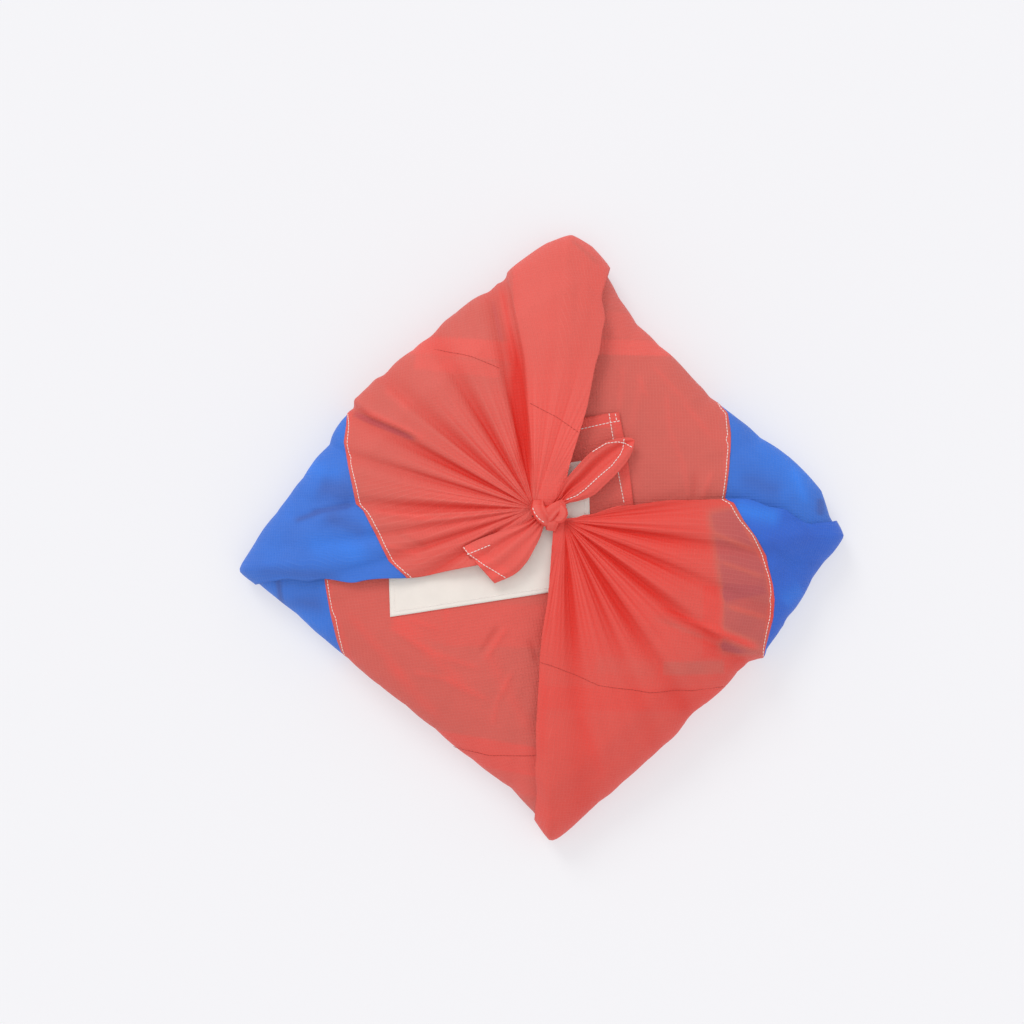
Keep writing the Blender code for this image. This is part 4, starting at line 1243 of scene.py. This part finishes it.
def smooth_line(rows, share):
    """A smooth curve through rows of numbers: cubic between rows, with even slopes."""
    rows = np.array(rows, dtype=float)
    at = share * (len(rows) - 1.0)
    place = np.clip(np.floor(at).astype(int), 0, len(rows) - 2)
    rest = (at - place)[:, None]
    slope = np.gradient(rows, axis=0)
    square, cube = rest ** 2, rest ** 3
    return ((2.0 * cube - 3.0 * square + 1.0) * rows[place]
            + (cube - 2.0 * square + rest) * slope[place]
            + (3.0 * square - 2.0 * cube) * rows[place + 1] + (cube - square) * slope[place + 1])


def knot(material, thread):
    """The square knot: flattened strands of gathered cloth, creased along their length."""
    base = lifted_top(np.array(KNOT_CENTRE[0]), np.array(KNOT_CENTRE[1]), np.array(KNOT_LIFT))
    angle = np.linspace(0.0, 2.0 * math.pi, KNOT_COLUMNS, endpoint=False)
    run = np.linspace(0.0, 1.0, KNOT_ROWS)
    round_x = np.sign(np.cos(angle)) * np.abs(np.cos(angle)) ** KNOT_ROUNDING[0]
    round_y = np.sign(np.sin(angle)) * np.abs(np.sin(angle)) ** KNOT_ROUNDING[1]
    points, quads, fold_shades = [], [], []
    for number, strand in enumerate(KNOT_STRANDS):
        values = smooth_line(strand, run)
        path = values[:, :3]
        ahead = np.gradient(path, axis=0)
        ahead /= np.linalg.norm(ahead, axis=1, keepdims=True)
        sideways = np.cross(np.array([0.0, 0.0, 1.0]), ahead)
        sideways /= np.linalg.norm(sideways, axis=1, keepdims=True)
        above = np.cross(ahead, sideways)
        groove = (0.6 * np.cos(5.0 * angle + 2.0 * number + 1.2 * np.sin(3.0 * run[:, None]))
                  + 0.4 * np.cos(9.0 * angle + number - 1.5 * run[:, None]))
        ruffle = 1.0 + KNOT_GROOVE * groove
        rings = (path[:, None, :] + base
                 + sideways[:, None, :] * (values[:, 3:4] * ruffle * round_x)[..., None]
                 + above[:, None, :] * (values[:, 4:5] * ruffle * round_y)[..., None])
        start = sum(len(block) for block in points)
        first, last = [np.broadcast_to(end + base, rings[:1].shape)
                       for end in (path[0], path[-1])]
        rings = np.concatenate([first, rings, last])
        points.append(rings.reshape(-1, 3))
        # Painted fold shade and glow in the grooves and along each band's edges
        glow = np.clip(0.15 - 0.35 * groove + 0.7 * np.abs(np.cos(angle)) ** 3.0, 0.0, 1.0)
        fold_shades.append(np.concatenate([glow[:1], glow, glow[-1:]]).ravel())
        quads.append(grid_quads(len(rings), len(angle)) + start)
    verts = np.concatenate(points)
    result = add_mesh("tied_knot", verts, np.concatenate(quads), material,
                      verts[:, :2], np.full(len(verts), KNOT_TONE), np.concatenate(fold_shades))
    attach(result, "root")
    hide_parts("knot")
    path = smooth_line(KNOT_STITCHES, np.linspace(0.0, 1.0, 30)) + base
    stitches("knot_stitches", path, np.tile([-0.4, -0.2, 0.9], (len(path), 1)), thread)


def floor_and_light():
    """Pale floor, soft studio light and the camera straight above."""
    surface, shader = new_material("pale_paper", FLOOR_ROUGHNESS, FLOOR_SHINE)[::2]
    shader.inputs["Base Color"].default_value = (FLOOR_GREY, FLOOR_GREY, FLOOR_GREY, 1.0)
    shader.inputs["Emission Color"].default_value = linear(FLOOR)
    shader.inputs["Emission Strength"].default_value = FLOOR_GLOW
    corners = [(x * FLOOR_REACH, y * FLOOR_REACH, -FLOOR_DROP)
               for x, y in ((-1, -1), (1, -1), (1, 1), (-1, 1))]
    floor = add_mesh("floor", corners, [(0, 1, 2, 3)], surface)
    world = bpy.data.worlds.new("studio")
    bpy.context.scene.world = world
    world.use_nodes = True
    world.node_tree.nodes["Background"].inputs[0].default_value = (1.0, 1.0, 1.0, 1.0)
    world.node_tree.nodes["Background"].inputs[1].default_value = SKY
    for name, tilt_x, tilt_y, spread, power in SUNS:
        light = bpy.data.lights.new(name, "SUN")
        light.energy = power
        light.angle = math.radians(spread)
        lamp = bpy.data.objects.new(name, light)
        lamp.rotation_euler = (math.radians(tilt_x), math.radians(tilt_y), 0.0)
        bpy.context.scene.collection.objects.link(lamp)
    camera_data = bpy.data.cameras.new("camera")
    camera_data.lens = CAMERA_LENS
    camera_data.sensor_width = CAMERA_SENSOR
    camera = bpy.data.objects.new("camera", camera_data)
    camera.location = [place * MM for place in CAMERA_PLACE]
    bpy.context.scene.collection.objects.link(camera)
    bpy.context.scene.camera = camera
    bpy.context.scene.view_settings.view_transform = "Standard"


red_cloth = ripstop("red_ripstop_nylon", RED_LIT, RED_SHEER, RED_FOLD_SHADE, RED_GRID)
blue_cloth = ripstop("blue_ripstop_nylon", BLUE_LIT, BLUE_SHEER, BLUE_FOLD_SHADE, BLUE_GRID)
tape = cotton("cotton_tape", CREAM, TAPE_COUNT)
thread = cotton("cotton_thread", THREAD, THREAD_COUNT)
join_thread = cotton("red_join_thread", RED_JOIN, THREAD_COUNT)
middle_cloth = ripstop("middle_ripstop_nylon", BLUE_LIT, RED_UNDER, BLUE_FOLD_SHADE, UNDER_GRID,
                       MIDDLE_STRIP)
wrapped_bundle(middle_cloth, thread)
hem = {"material": thread}
join = {"material": join_thread, "share": 1.0, "width": JOIN_WIDTH, "slot": "red_ripstop"}
sewn_on = {part["name"]: [stitches_on(name, part, plan_path(line), RED_RISE,
                                      **(join if "join" in name else hem))
                          for name, line in part["stitches"]]
           for part in (FRONT_FLAP, BACK_FLAP, LEFT_FAN, RIGHT_FAN)}
for part, place, count, low in (
        (FRONT_FLAP, flap_place, 170, 0.0), (BACK_FLAP, flap_place, 170, 0.0),
        (LEFT_FAN, fan_place, 330, NECK_TUCK), (RIGHT_FAN, fan_place, 280, NECK_TUCK)):
    red, blue, sewn = both_panels(place, part, count, low, (red_cloth, blue_cloth, thread))
piece, rows = label_tape(tape, thread)
knot(red_cloth, thread)
for part in (LEFT_TAIL, RIGHT_TAIL):
    tail(part, red_cloth, thread)
floor_and_light()
